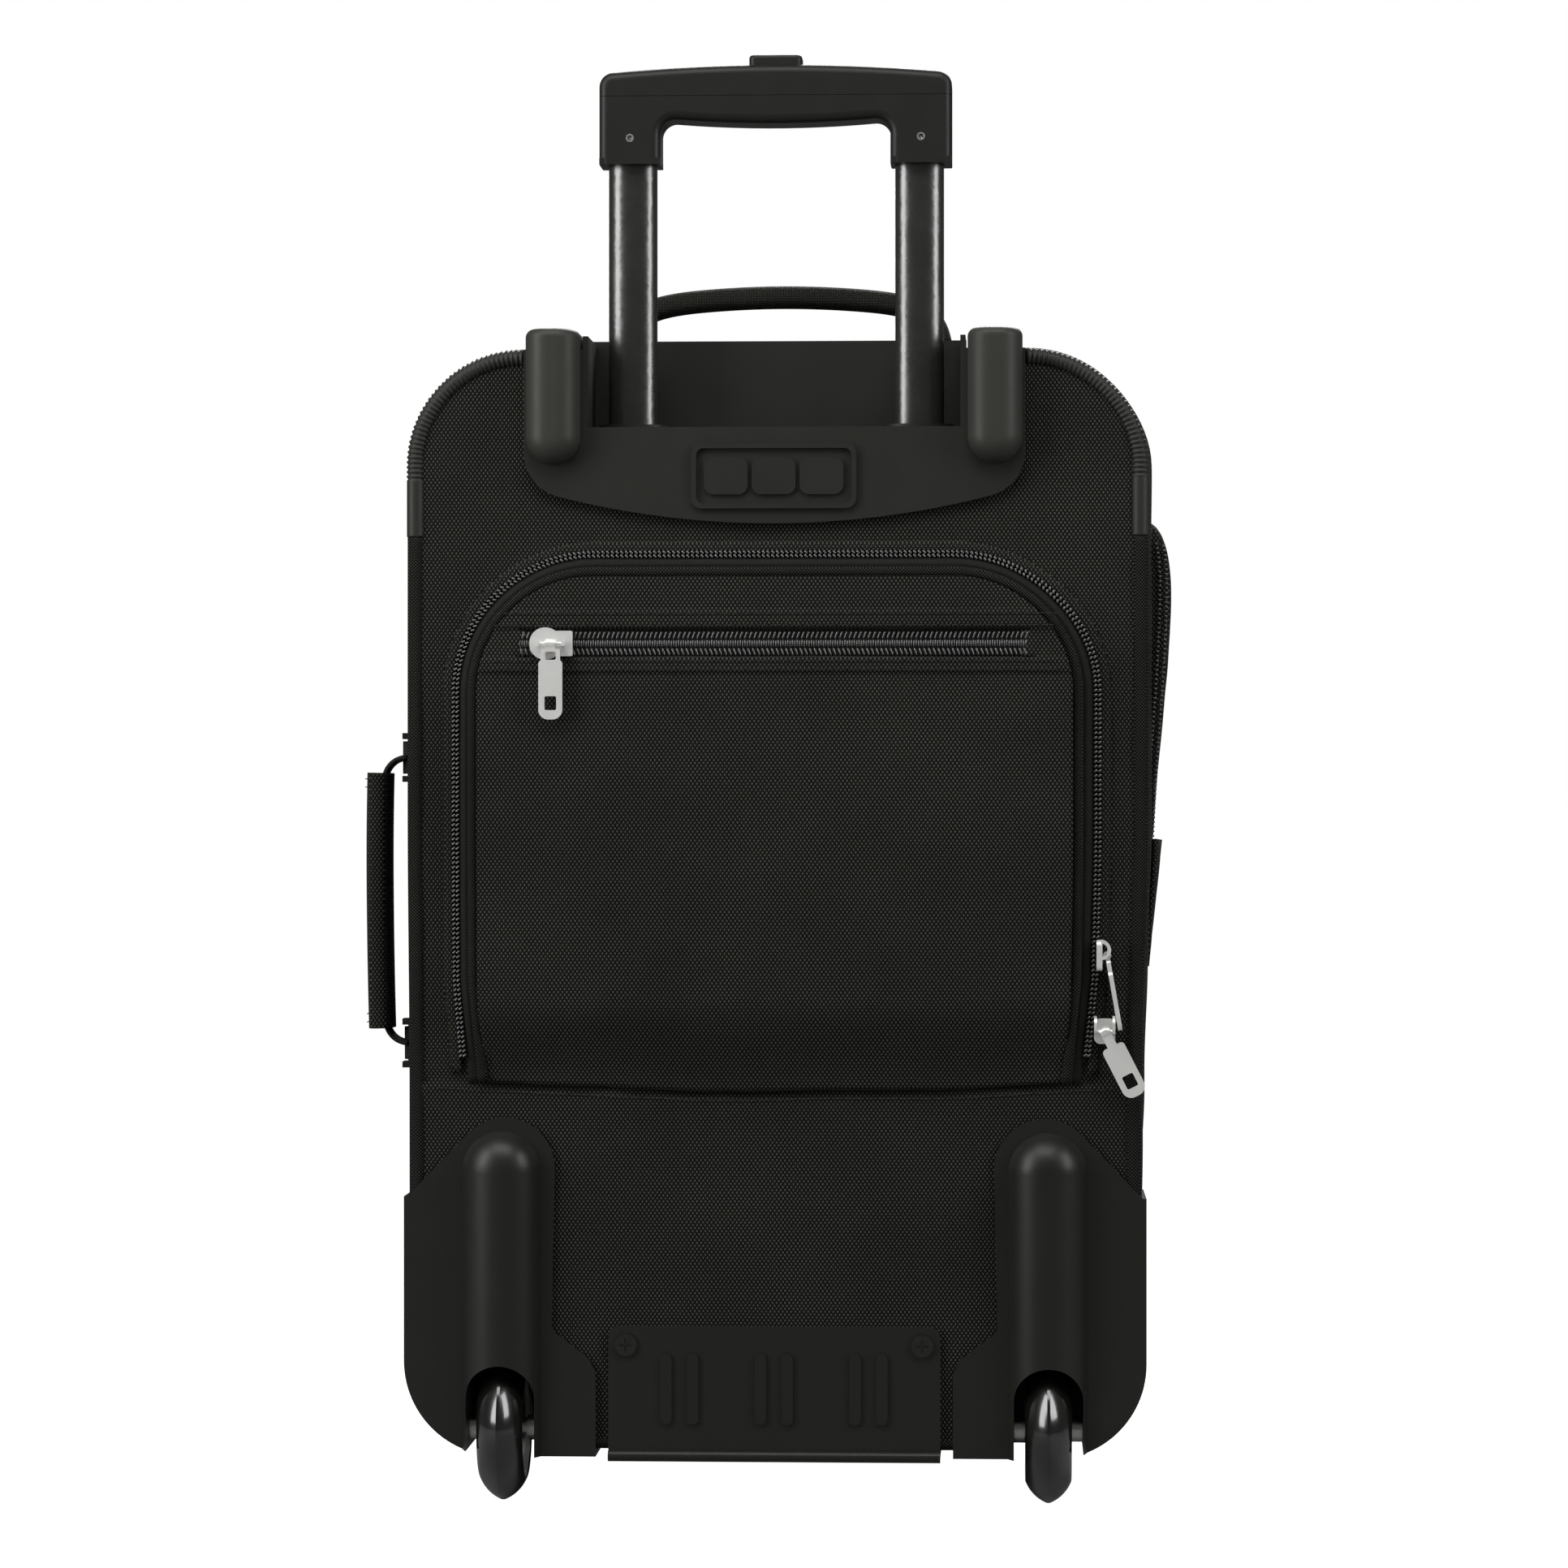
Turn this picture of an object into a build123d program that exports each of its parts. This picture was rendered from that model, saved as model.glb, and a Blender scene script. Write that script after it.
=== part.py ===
from build123d import *
import os

# Softside upright suitcase, stored standing on its wheels and front feet.
# X is across the case, Y runs from its back (-Y, handle side) to its front, Z is up. Millimetres.

# Case body
HALF_W = 174.5
CASE_Z0 = 25.0
CASE_Z1 = 550.0
TOP_R = 54.0
BOTTOM_R = 43.0
WALL = 3.0
BACK_Y = -97.0
TUB_Y0 = -90.8
TUB_Y1 = 29.0
SPLIT_Y = 35.0
LID_Y0 = 41.0
LID_Y1 = 81.0
GAP = 0.2

# Piping and rubber corner guards
PIPE_R = 3.9
PIPE_INSET = 4.0
PIPE_Y = -95.0
GUARD_X = 119.8
GUARD_Z = 461.0
PIPE_END_Z = 155.0

# Pull handle
TUBE_X = 68.8
TUBE_Y = -76.0
STAGE_A = 11.7
STAGE_B = 7.45
STAGE_WALL = 1.2
GUIDE_A = 13.3
GUIDE_B = 9.0
GUIDE_WALL = 1.2
GUIDE_Z0 = 52.0
GUIDE_Z1 = 509.0
STAGE_Z0 = 200.0
STAGE_Z1 = 662.0
GRIP_HALF_W = 84.4
GRIP_Y0 = -88.5
GRIP_Y1 = -63.5
GRIP_LEG_Z = 639.5
GRIP_SEAM_Z = 672.0
GRIP_WALL = 2.2
LEG_INNER_X = 55.0
BUTTON_HALF_W = 12.7
BUTTON_TOP_Z = 692.0
PIN_Z = 212.0
PIN_R = 2.5
CAM_SLOPE = 0.75
LOCK_HOLES_Z = (89.0, 467.0)

# Top housing
RECESS_X = 88.5
RECESS_Z = 512.7
RECESS_Y = -50.0
BEZEL_Y = -101.0
SHELL = 2.5

# Wheels and their housings
WHEEL_X = 130.3
WHEEL_Y = -82.0
WHEEL_R = 35.0
WHEEL_W = 22.0
HUB_R = 24.4
WELL_HALF_W = 16.4
WELL_Z = 74.5
WELL_Y = -41.0
BUMP_Y = -113.0
FOOT_X = 136.0
HOOD_R = 19.9
HOOD_Z = 158.7
HOOD_WALL = 3.2
AXLE_R = 4.0
BEARING_R = 11.0

# Back flap and its pocket
FLAP_Z0 = 201.5
FLAP_Y = -110.0
FLAP_X = 151.5
FLAP_Z1 = 449.0
FLAP_R = 66.0
POCKET_Z = 409.5
POCKET_X = 120.5

# Sliders and pulls
BAR_Y = -5.3
ARCH_SLIDER_X = 152.6
BAR_R = 0.8
PULL_L = 36.0
PULL_W = 11.3
PULL_T = 2.0


def box(x0, x1, y0, y1, z0, z1):
    return Pos((x0 + x1) / 2, (y0 + y1) / 2, (z0 + z1) / 2) * Box(x1 - x0, y1 - y0, z1 - z0)


def rect(x0, x1, z0, z1, radius=0.0):
    size = (x1 - x0, z1 - z0)
    shape = RectangleRounded(*size, radius) if radius else Rectangle(*size)
    return Pos((x0 + x1) / 2, (z0 + z1) / 2) * shape


def plate(sketch, y0, y1):
    """A sketch drawn in X and Z, made solid between depths y0 and y1."""
    return extrude(Plane.XZ.offset(-y1) * sketch, amount=y1 - y0)


def side_plate(sketch, x0, x1):
    """A sketch drawn in Y and Z, made solid between x0 and x1."""
    return extrude(Plane.YZ.offset(x0) * sketch, amount=x1 - x0)


def level_plate(sketch, z0, z1):
    return extrude(Plane.XY.offset(z0) * sketch, amount=z1 - z0)


def rod_x(radius, x0, x1, y, z):
    return side_plate(Pos(y, z) * Circle(radius), x0, x1)


def rod_z(radius, x, y, z0, z1):
    return level_plate(Pos(x, y) * Circle(radius), z0, z1)


def rod_y(radius, x, z, y0, y1):
    return plate(Pos(x, z) * Circle(radius), y0, y1)


def flipped(part):
    return mirror(part, about=Plane.YZ)


def both(part):
    return [part, flipped(part)]


def outline(inset):
    """The case's outline in X and Z, moved inward by inset."""
    w = HALF_W - inset
    shape = rect(-w, w, CASE_Z0 + inset, CASE_Z1 - inset)
    rows = shape.vertices().group_by(Axis.Y)
    shape = fillet(rows[-1], TOP_R - inset)
    rows = shape.vertices().group_by(Axis.Y)
    return fillet(rows[0], BOTTOM_R - inset)


def band(inset, thickness, y0, y1):
    return plate(outline(inset) - outline(inset + thickness), y0, y1)


def arch(half_w, top_z, radius, bottom_z):
    """A flap outline: square at the bottom, with large rounded corners at the top."""
    shape = rect(-half_w, half_w, bottom_z, top_z)
    return fillet(shape.vertices().group_by(Axis.Y)[-1], radius)


def edge_path(points, radius):
    return FilletPolyline(*points, radius=radius)


def swept_rod(path, radius):
    return sweep(Plane(path @ 0, z_dir=path % 0) * Circle(radius), path)


def well_envelope(grow):
    """The room one wheel well takes out of the case."""
    x0 = WHEEL_X - WELL_HALF_W - SHELL - grow
    x1 = WHEEL_X + WELL_HALF_W + SHELL + grow
    return box(x0, x1, -130, WELL_Y + SHELL + grow, 0, WELL_Z + SHELL + grow)


# Case

def back_panel():
    part = plate(outline(PIPE_INSET + PIPE_R + 0.4), BACK_Y, BACK_Y + WALL)
    part -= box(-RECESS_X - SHELL - GAP, RECESS_X + SHELL + GAP, -110, -80, RECESS_Z - SHELL - GAP, 600)
    for cut in both(well_envelope(GAP)):
        part -= cut
    return part


def tub_gusset():
    part = band(0, WALL, TUB_Y0, TUB_Y1)
    part -= box(-RECESS_X - SHELL - GAP, RECESS_X + SHELL + GAP, -100, RECESS_Y + SHELL + GAP, 520, 600)
    for cut in both(well_envelope(GAP)):
        part -= cut
    return part


def frame_hoop():
    return band(WALL + 0.3, 3.0, TUB_Y1 - 5, TUB_Y1 - 2)


def back_board():
    w = HALF_W - WALL - 0.4
    shape = fillet(rect(-w, w, 80, 508).vertices().group_by(Axis.Y)[-1], 12)
    return plate(shape, -64, -62)


def apron():
    """The outline of the moulded bezel: square at the top with a shallow curved skirt."""
    edge = GUARD_X - 0.5
    left = Line((-edge, 549.8), (-edge, 501))
    corner = TangentArc((-edge, 501), (-102.4, 479.6), tangent=(0, -1))
    skirt = ThreePointArc((-102.4, 479.6), (0, 466.8), (102.4, 479.6))
    other = TangentArc((edge, 501), (102.4, 479.6), tangent=(0, -1))
    right = Line((edge, 501), (edge, 549.8))
    top = Line((edge, 549.8), (-edge, 549.8))
    return make_face([left, corner, skirt, other, right, top])


def badge():
    """A plain raised frame with three blank pads."""
    ring = rect(-39.3, 39.3, 473.8, 504.8, 5) - rect(-36.9, 36.9, 476.2, 502.4, 3.5)
    part = plate(ring, BEZEL_Y - 2.0, BEZEL_Y)
    for index in (-1, 0, 1):
        x = index * 22.7
        part += plate(rect(x - 10.4, x + 10.4, 480.5, 498, 4.5), BEZEL_Y - 1.5, BEZEL_Y)
    return part


def top_housing():
    part = plate(apron(), BEZEL_Y, BACK_Y - GAP)
    rim = RECESS_X + SHELL
    part += box(-rim, rim, BEZEL_Y, RECESS_Y + SHELL, RECESS_Z - SHELL, 558)
    part -= box(-RECESS_X, RECESS_X, BEZEL_Y - 1, RECESS_Y, RECESS_Z, 600)
    part -= box(-rim - 1, rim + 1, BEZEL_Y - 1, RECESS_Y, 556, 600)
    for sign in (-1, 1):
        part -= level_plate(Pos(sign * TUBE_X, TUBE_Y) * Ellipse(GUIDE_A + 1.2, GUIDE_B + 1.2), 500, 520)
    return part + badge()


def bumper():
    """One rubber lobe: a rounded upright pad that folds over the top edge of the case."""
    face = rect(92, 118, 495, 559)
    face = fillet(face.vertices().group_by(Axis.Y)[0], 12.9)
    part = plate(face, -114, BEZEL_Y - GAP)
    part = fillet(part.edges().group_by(Axis.Y)[0].filter_by(lambda e: e.center().Z < 558), 11)
    part += box(92, 118, BEZEL_Y - GAP, -60, CASE_Z1 + GAP, 559)
    edges = part.edges().filter_by(Axis.X).group_by(Axis.Z)[-1]
    return fillet(edges, 4)


def guide_tube(sign):
    ring = Ellipse(GUIDE_A, GUIDE_B) - Ellipse(GUIDE_A - GUIDE_WALL, GUIDE_B - GUIDE_WALL)
    part = level_plate(Pos(sign * TUBE_X, TUBE_Y) * ring, GUIDE_Z0, GUIDE_Z1)
    inner = sign * (TUBE_X - GUIDE_A)
    for z in LOCK_HOLES_Z:
        part -= rod_x(PIN_R + 0.5, inner - 4, inner + 4, TUBE_Y, z)
    return part


def guide_collar(sign):
    flange = Ellipse(16.5, 12.0) - Ellipse(STAGE_A + 0.4, STAGE_B + 0.4)
    sleeve = Ellipse(GUIDE_A + 1.0, GUIDE_B + 1.0) - Ellipse(STAGE_A + 0.4, STAGE_B + 0.4)
    part = level_plate(Pos(sign * TUBE_X, TUBE_Y) * flange, RECESS_Z + GAP, RECESS_Z + 2.4)
    return part + level_plate(Pos(sign * TUBE_X, TUBE_Y) * sleeve, GUIDE_Z1 + GAP, RECESS_Z + GAP)


def tube_foot_bracket():
    part = box(-88, 88, -92, -64.5, 48, GUIDE_Z0 - GAP)
    return part + box(-88, 88, -92, -89.5, 36, 48)


def housing_region():
    """The outline of one wheel housing's face in X and Z: an arch with a slant down to the side."""
    slant = Polyline((180, 146.5), (175, 146.5), (145.5, 177))
    arch_top = ThreePointArc((145.5, 177), (128.5, 184), (104.5, 160))
    inner = Polyline((104.5, 160), (106, 83), (88.5, 69.6), (85, 63), (85, 15), (180, 15), (180, 146.5))
    face = make_face([slant, arch_top, inner])
    steps = [v for v in face.vertices() if 86 < v.X < 110 and 60 < v.Y < 90]
    return fillet(steps, 4)


def rounded_room(x0, x1, y1, z0, z1):
    """An upright room inside the hood, half round on its outer side."""
    radius = (x1 - x0) / 2
    front = BUMP_Y + HOOD_WALL
    room = rod_z(radius, x0 + radius, front + radius, z0, z1) + box(x0, x1, front + radius, -30, z0, z1)
    return room & box(x0, x1, front, y1, z0, z1)


def wheel_housing():
    region = housing_region()
    skin = plate(region & outline(-2.2), BACK_Y - SHELL, BACK_Y - GAP)
    wrap = plate((outline(-2.2) - outline(-0.2)) & region, BACK_Y - GAP, -45)
    lip = plate((outline(-2.2) - outline(6.0)) & region, BACK_Y - GAP, TUB_Y0 - GAP)
    x0 = WHEEL_X - WELL_HALF_W - SHELL
    x1 = WHEEL_X + WELL_HALF_W + SHELL
    shape = rect(x0, x1, 15, WELL_Z + SHELL) & outline(-2.2)
    well = plate(shape, BACK_Y - GAP, WELL_Y + SHELL)
    hood = rod_z(HOOD_R, 130, BUMP_Y + HOOD_R, 15, HOOD_Z)
    hood += Pos(130, BUMP_Y + HOOD_R, HOOD_Z) * Sphere(HOOD_R)
    hood &= plate(outline(-2.2), -120, BACK_Y - SHELL)
    part = skin + wrap + lip + well + hood
    part -= rounded_room(114.0, 146.0, BACK_Y, 79, 156)
    w = WELL_HALF_W
    part -= rounded_room(WHEEL_X - w, WHEEL_X + w, WELL_Y, 0, WELL_Z)
    mouth = rect(WHEEL_X - w, WHEEL_X + w, 0, 67 - w) + Pos(WHEEL_X, 67 - w) * Circle(w)
    part -= plate(mouth, -120, BUMP_Y + HOOD_R)
    return part - rod_x(AXLE_R + 0.2, 100, 160, WHEEL_Y, WHEEL_R)


def axle_set():
    """One axle with its two spacers."""
    w = WELL_HALF_W
    part = rod_x(AXLE_R, WHEEL_X - w - SHELL, WHEEL_X + w + SHELL, WHEEL_Y, WHEEL_R)
    half = WHEEL_W / 2 + 0.3
    for sign in (-1, 1):
        a = WHEEL_X + sign * half
        b = WHEEL_X + sign * (w - GAP)
        part += rod_x(6.0, min(a, b), max(a, b), WHEEL_Y, WHEEL_R)
    return part


def skid_plate():
    part = plate(rect(-79, 79, 22.2, 85, 5), BACK_Y - SHELL, BACK_Y - GAP)
    part += box(-79, 79, BACK_Y - SHELL, -60, 22.2, CASE_Z0 - GAP)
    part += rod_x(2.6, -79, 79, BACK_Y - SHELL - 0.5, 23.4)
    for centre in (-45, 0, 45):
        for side in (-6.35, 6.35):
            x = centre + side
            part += plate(rect(x - 2.7, x + 2.7, 38.6, 72.5, 2.6), BACK_Y - SHELL - 1.4, BACK_Y - SHELL)
    return part


def skid_screw(x):
    part = rod_y(5.3, x, 76.3, BACK_Y - SHELL - 1.6, BACK_Y - SHELL - GAP)
    for turn in (0, 90):
        slot = Rot(0, turn, 0) * Box(5.6, 2.0, 1.2)
        part -= Pos(x, BACK_Y - SHELL - 1.6, 76.3) * slot
    return part


def front_foot():
    """A foot under the front of the case, narrow enough to stand behind its wheel."""
    sole = Pos(FOOT_X, 18) * RectangleRounded(12, 22, 5)
    part = level_plate(sole, 0, 3)
    part += loft([Plane.XY.offset(3) * sole,
                  Plane.XY.offset(CASE_Z0 + 4) * Pos(FOOT_X - 2, 18) * RectangleRounded(16, 24, 5)])
    return part - plate(outline(-GAP), 0, 40)


def pipe_points(start, end):
    w = HALF_W - PIPE_INSET
    z = CASE_Z1 - PIPE_INSET
    return [(start, PIPE_Y, z), (w, PIPE_Y, z), (w, PIPE_Y, end)]


def corner_guard():
    return swept_rod(edge_path(pipe_points(GUARD_X, GUARD_Z), TOP_R - PIPE_INSET), PIPE_R)


def rear_pipe():
    return rod_z(PIPE_R, HALF_W - PIPE_INSET, PIPE_Y, PIPE_END_Z, GUARD_Z - GAP)


def zipper_half(y0, y1, coil_y0, coil_y1):
    """A band of tape round the case with its row of coil along one edge."""
    return band(0.4, 1.6, y0, y1) + band(-0.9, 1.6, coil_y0, coil_y1)


def arch_zipper_outer():
    ring = arch(FLAP_X + 8.5, FLAP_Z1 + 8.5, FLAP_R + 8.5, 238)
    ring -= arch(FLAP_X + 0.5, FLAP_Z1 + 0.5, FLAP_R + 0.5, 200)
    return plate(ring, BACK_Y - 1.6, BACK_Y - GAP)


def side_pocket():
    """A stand-off pocket on the right wall with a tapering flap below it."""
    base = rect(-62, 14, 313, 470, 14)
    front = rect(-56, 8, 376, 462, 14)
    inner = HALF_W + GAP
    part = loft([Plane.YZ.offset(inner) * base, Plane.YZ.offset(inner + 19.5) * front])
    hollow = [Plane.YZ.offset(inner + 1.5) * rect(-58, 10, 317, 466, 12)]
    hollow.append(Plane.YZ.offset(inner + 17.3) * rect(-53, 5, 379, 459, 12))
    part -= loft(hollow)
    return part + side_plate(rect(-52, 4, 255, 316, 8), inner, inner + 4)


def handle_anchor_top(x):
    part = box(x - 13, x + 13, -9, 9, CASE_Z1 + GAP, CASE_Z1 + 1.6)
    for edge in (-10.5, 10.5):
        part += box(x + edge - 1.5, x + edge + 1.5, -5, 5, CASE_Z1 + 1.0, CASE_Z1 + 11)
    return part + rod_x(2.0, x - 10, x + 10, 0, CASE_Z1 + 6.7)


def handle_anchor_side(z):
    x = -HALF_W
    part = box(x - 1.6, x - GAP, -39, -21, z - 13, z + 13)
    for edge in (-10.5, 10.5):
        part += box(x - 11, x - 1.0, -35, -25, z + edge - 1.5, z + edge + 1.5)
    return part + rod_z(2.0, x - 6.7, -30, z - 10, z + 10)


def tie_straps():
    parts = []
    for z in (190, 400):
        parts.append(box(-160, 160, -61.8, -60.6, z - 12, z + 12))
    parts.append(box(-24, 24, -60.4, -56.5, 385, 415))
    return parts


# Pull handle

def grip_face(half_w, top_centre, top_corner, inset):
    """The grip's outline in X and Z: a crossbar with a short leg at each end."""
    w = half_w - inset
    top = ThreePointArc((-w, top_corner - inset), (0, top_centre - inset), (w, top_corner - inset))
    sides = [Line((-w, top_corner - inset), (-w, GRIP_LEG_Z)), Line((w, top_corner - inset), (w, GRIP_LEG_Z))]
    shape = make_face([top, *sides, Line((-w, GRIP_LEG_Z), (w, GRIP_LEG_Z))])
    shape = fillet(shape.vertices().group_by(Axis.Y)[-1], 7 - inset if inset else 7)
    x = LEG_INNER_X + inset
    under = ThreePointArc((-x, 661.5 + inset), (0, 658.8 + inset), (x, 661.5 + inset))
    rest = Polyline((x, 661.5 + inset), (x, 609), (-x, 609), (-x, 661.5 + inset))
    gap = make_face([under, *rest.edges()])
    return shape - fillet(gap.vertices().group_by(Axis.Y)[-1], 7)


def grip_blank():
    part = plate(grip_face(GRIP_HALF_W, 687, 683, 0), GRIP_Y0, GRIP_Y1)
    front = part.edges().group_by(Axis.Y)[0] + part.edges().group_by(Axis.Y)[-1]
    part = fillet(front.filter_by(lambda e: e.center().Z > GRIP_LEG_Z + 0.5), 4)
    inner = grip_face(GRIP_HALF_W, 687, 683, GRIP_WALL)
    return part - plate(inner, GRIP_Y0 + GRIP_WALL, GRIP_Y1 - GRIP_WALL)


def grip_lower():
    part = grip_blank() & box(-100, 100, -100, -50, GRIP_LEG_Z, GRIP_SEAM_Z - 0.1)
    for sign in (-1, 1):
        foot = box(sign * 69.7 - 14.5, sign * 69.7 + 14.5, GRIP_Y0 + 0.2, GRIP_Y1 - 0.2,
                   GRIP_LEG_Z, GRIP_LEG_Z + 3)
        part += foot
        part -= level_plate(Pos(sign * TUBE_X, TUBE_Y) * Ellipse(STAGE_A + 0.2, STAGE_B + 0.2), 630, 662.4)
        part -= rod_y(2.2, sign * 69.6, 652, -100, -50)
    return part


def grip_upper():
    part = grip_blank() & box(-100, 100, -100, -50, GRIP_SEAM_Z + 0.1, 700)
    return part - level_plate(Pos(0, TUBE_Y) * RectangleRounded(26.0, 16.6, 3.3), 670, 700)


def stage_tube(sign):
    ring = Ellipse(STAGE_A, STAGE_B) - Ellipse(STAGE_A - STAGE_WALL, STAGE_B - STAGE_WALL)
    part = level_plate(Pos(sign * TUBE_X, TUBE_Y) * ring, STAGE_Z0, STAGE_Z1)
    inner = sign * (TUBE_X - STAGE_A)
    part -= rod_x(PIN_R + 0.35, inner - 3, inner + 3, TUBE_Y, PIN_Z)
    return part - rod_y(2.2, sign * 69.6, 652, -100, -50)


def grip_rivet(sign):
    ring = Circle(2.0) - Circle(1.2)
    return plate(Pos(sign * 69.6, 652) * ring, GRIP_Y0 + 0.3, GRIP_Y1 - 0.3)


def lock_block():
    """The plug in the foot of the right-hand tube that guides its lock pin."""
    shape = Pos(TUBE_X, TUBE_Y) * Ellipse(STAGE_A - STAGE_WALL - GAP, STAGE_B - STAGE_WALL - GAP)
    part = level_plate(shape, STAGE_Z0 + 0.5, PIN_Z + 18)
    part -= box(TUBE_X - 6.2, TUBE_X + 9.3, TUBE_Y - 4.0, TUBE_Y + 4.0, PIN_Z - 3.6, PIN_Z + 3.6)
    part -= box(TUBE_X - 6.2, TUBE_X + 9.3, TUBE_Y - 2.0, TUBE_Y + 2.0, PIN_Z - 9.8, PIN_Z + 30)
    return part - rod_x(PIN_R + 0.35, TUBE_X - 20, TUBE_X - 5, TUBE_Y, PIN_Z)


def slanted(half_w, z0, z1, half_t):
    """A bar that leans outward as it rises, centred on the pin."""
    corners = []
    for z, side in ((z0, -1), (z0, 1), (z1, 1), (z1, -1)):
        corners.append((TUBE_X + CAM_SLOPE * z + side * half_w, PIN_Z + z))
    return plate(make_face(Polyline(*corners, close=True)), TUBE_Y - half_t, TUBE_Y + half_t)


def lock_pin():
    part = box(TUBE_X - 5.5, TUBE_X + 5.5, TUBE_Y - 3.6, TUBE_Y + 3.6, PIN_Z - 3, PIN_Z + 3)
    part -= slanted(1.7, -6, 6, 1.8)
    return part + rod_x(PIN_R, TUBE_X - STAGE_A + 0.25, TUBE_X - 5.5, TUBE_Y, PIN_Z)


def push_rod():
    part = slanted(1.3, -5, 9, 1.5)
    top_x = TUBE_X + CAM_SLOPE * 9
    return part + box(top_x - 1.3, top_x + 1.3, TUBE_Y - 1.5, TUBE_Y + 1.5, PIN_Z + 8.9, 668.5)


def release_fork():
    """The crossbar under the button with a long rod down each tube."""
    part = box(-78, 78, TUBE_Y - 4, TUBE_Y + 4, 668.1, 671)
    for arm in both(push_rod()):
        part += arm
    return part


def release_button():
    part = level_plate(Pos(0, TUBE_Y) * RectangleRounded(2 * BUTTON_HALF_W, 16, 3), 671.2, BUTTON_TOP_Z)
    return fillet(part.edges().group_by(Axis.Z)[-1], 1.6)


# Wheels

def tyre():
    """A tread that narrows to a thin seam, moulded over the hub."""
    half = WHEEL_W / 2
    edges = [Line((WHEEL_X - half, HUB_R + 0.2), (WHEEL_X + half, HUB_R + 0.2)),
             Line((WHEEL_X - 0.7, WHEEL_R), (WHEEL_X + 0.7, WHEEL_R))]
    for sign in (-1, 1):
        profile = ((half, HUB_R + 0.2), (7.2, 30.6), (0.7, WHEEL_R))
        edges.append(ThreePointArc(*((WHEEL_X + sign * x, r) for x, r in profile)))
    return Pos(0, WHEEL_Y, WHEEL_R) * revolve(make_face(edges), axis=Axis.X)


def wheel_turned(profile):
    """Turn a list of radius and width pairs about the wheel's own axis."""
    points = [(WHEEL_X + x, r) for r, x in profile]
    face = make_face(Polyline(*points, close=True))
    solid = revolve(face, axis=Axis.X)
    return Pos(0, WHEEL_Y, WHEEL_R) * solid


def hub():
    profile = [(BEARING_R + 0.1, -9), (14.5, -9), (15.5, -8), (20, -8), (21.5, -10.2), (HUB_R, -10.2),
               (HUB_R, 10.2), (21.5, 10.2), (20, 8), (15.5, 8), (14.5, 9), (BEARING_R + 0.1, 9)]
    part = wheel_turned(profile)
    for index in range(6):
        hole = rod_x(1.9, 100, 160, 0, 17.8)
        part -= Pos(0, WHEEL_Y, WHEEL_R) * Rot(index * 60, 0, 0) * hole
    return part


def bearings():
    bore = AXLE_R + 0.05
    parts = []
    for x0, x1 in ((-9, -2), (2, 9)):
        parts.append(wheel_turned([(bore, x0), (BEARING_R, x0), (BEARING_R, x1), (bore, x1)]))
    return parts


# Lid and front pockets

def lid_panel():
    part = plate(outline(0), LID_Y0, LID_Y1) - plate(outline(WALL), LID_Y0 - 1, LID_Y1 - WALL)
    edges = part.edges().group_by(Axis.Y)[-1]
    return chamfer(edges, 2.4)


def lid_piping():
    ring = outline(5.5) - outline(11.5)
    return plate(ring, LID_Y1 + GAP, LID_Y1 + 5.5)


def soft_box(x0, x1, z0, z1, radius, y0, y1, lean):
    """A sewn pocket: hollow, with its front face smaller than its base by lean all round."""
    part = loft([Plane.XZ.offset(-y0) * rect(x0, x1, z0, z1, radius),
                 Plane.XZ.offset(-y1) * rect(x0 + lean, x1 - lean, z0 + lean, z1 - lean, radius)])
    t = 2.5
    part -= loft([Plane.XZ.offset(-y0 - t) * rect(x0 + t, x1 - t, z0 + t, z1 - t, radius - t),
                  Plane.XZ.offset(-y1 + t) * rect(x0 + lean + t, x1 - lean - t, z0 + lean + t,
                                                  z1 - lean - t, radius - t)])
    return part


# Back flap

def arch_flap():
    outer = [Plane.XZ.offset(-BACK_Y + 1.8) * arch(FLAP_X, FLAP_Z1, FLAP_R, FLAP_Z0)]
    outer.append(Plane.XZ.offset(-FLAP_Y) * arch(FLAP_X - 13, FLAP_Z1 - 13, FLAP_R - 10, FLAP_Z0 + 2))
    inner = [Plane.XZ.offset(-BACK_Y) * arch(FLAP_X - 3, FLAP_Z1 - 3, FLAP_R - 3, FLAP_Z0 + 3)]
    inner.append(Plane.XZ.offset(-FLAP_Y - 2.6) * arch(FLAP_X - 14.5, FLAP_Z1 - 14.5, FLAP_R - 12,
                                                         FLAP_Z0 + 5))
    part = loft(outer) - loft(inner)
    slot = rect(-POCKET_X, POCKET_X, POCKET_Z - 6, POCKET_Z + 6, 5)
    return part - plate(slot, FLAP_Y - 1, FLAP_Y + 4)


def flap_zipper():
    ring = arch(FLAP_X + 0.2, FLAP_Z1 + 0.2, FLAP_R, 238) - arch(FLAP_X - 6, FLAP_Z1 - 6, FLAP_R - 6, 200)
    return plate(ring, BACK_Y - 1.6, BACK_Y - GAP)


def pocket_zipper():
    part = plate(rect(-POCKET_X + GAP, POCKET_X - GAP, POCKET_Z - 5.8, POCKET_Z + 5.8, 4.8),
                 FLAP_Y + 0.4, FLAP_Y + 1.4)
    return part + plate(rect(-POCKET_X + 2, POCKET_X - 2, POCKET_Z - 2.5, POCKET_Z + 2.5, 2),
                        FLAP_Y - 0.6, FLAP_Y + 0.5)


# Carry handles

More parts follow.
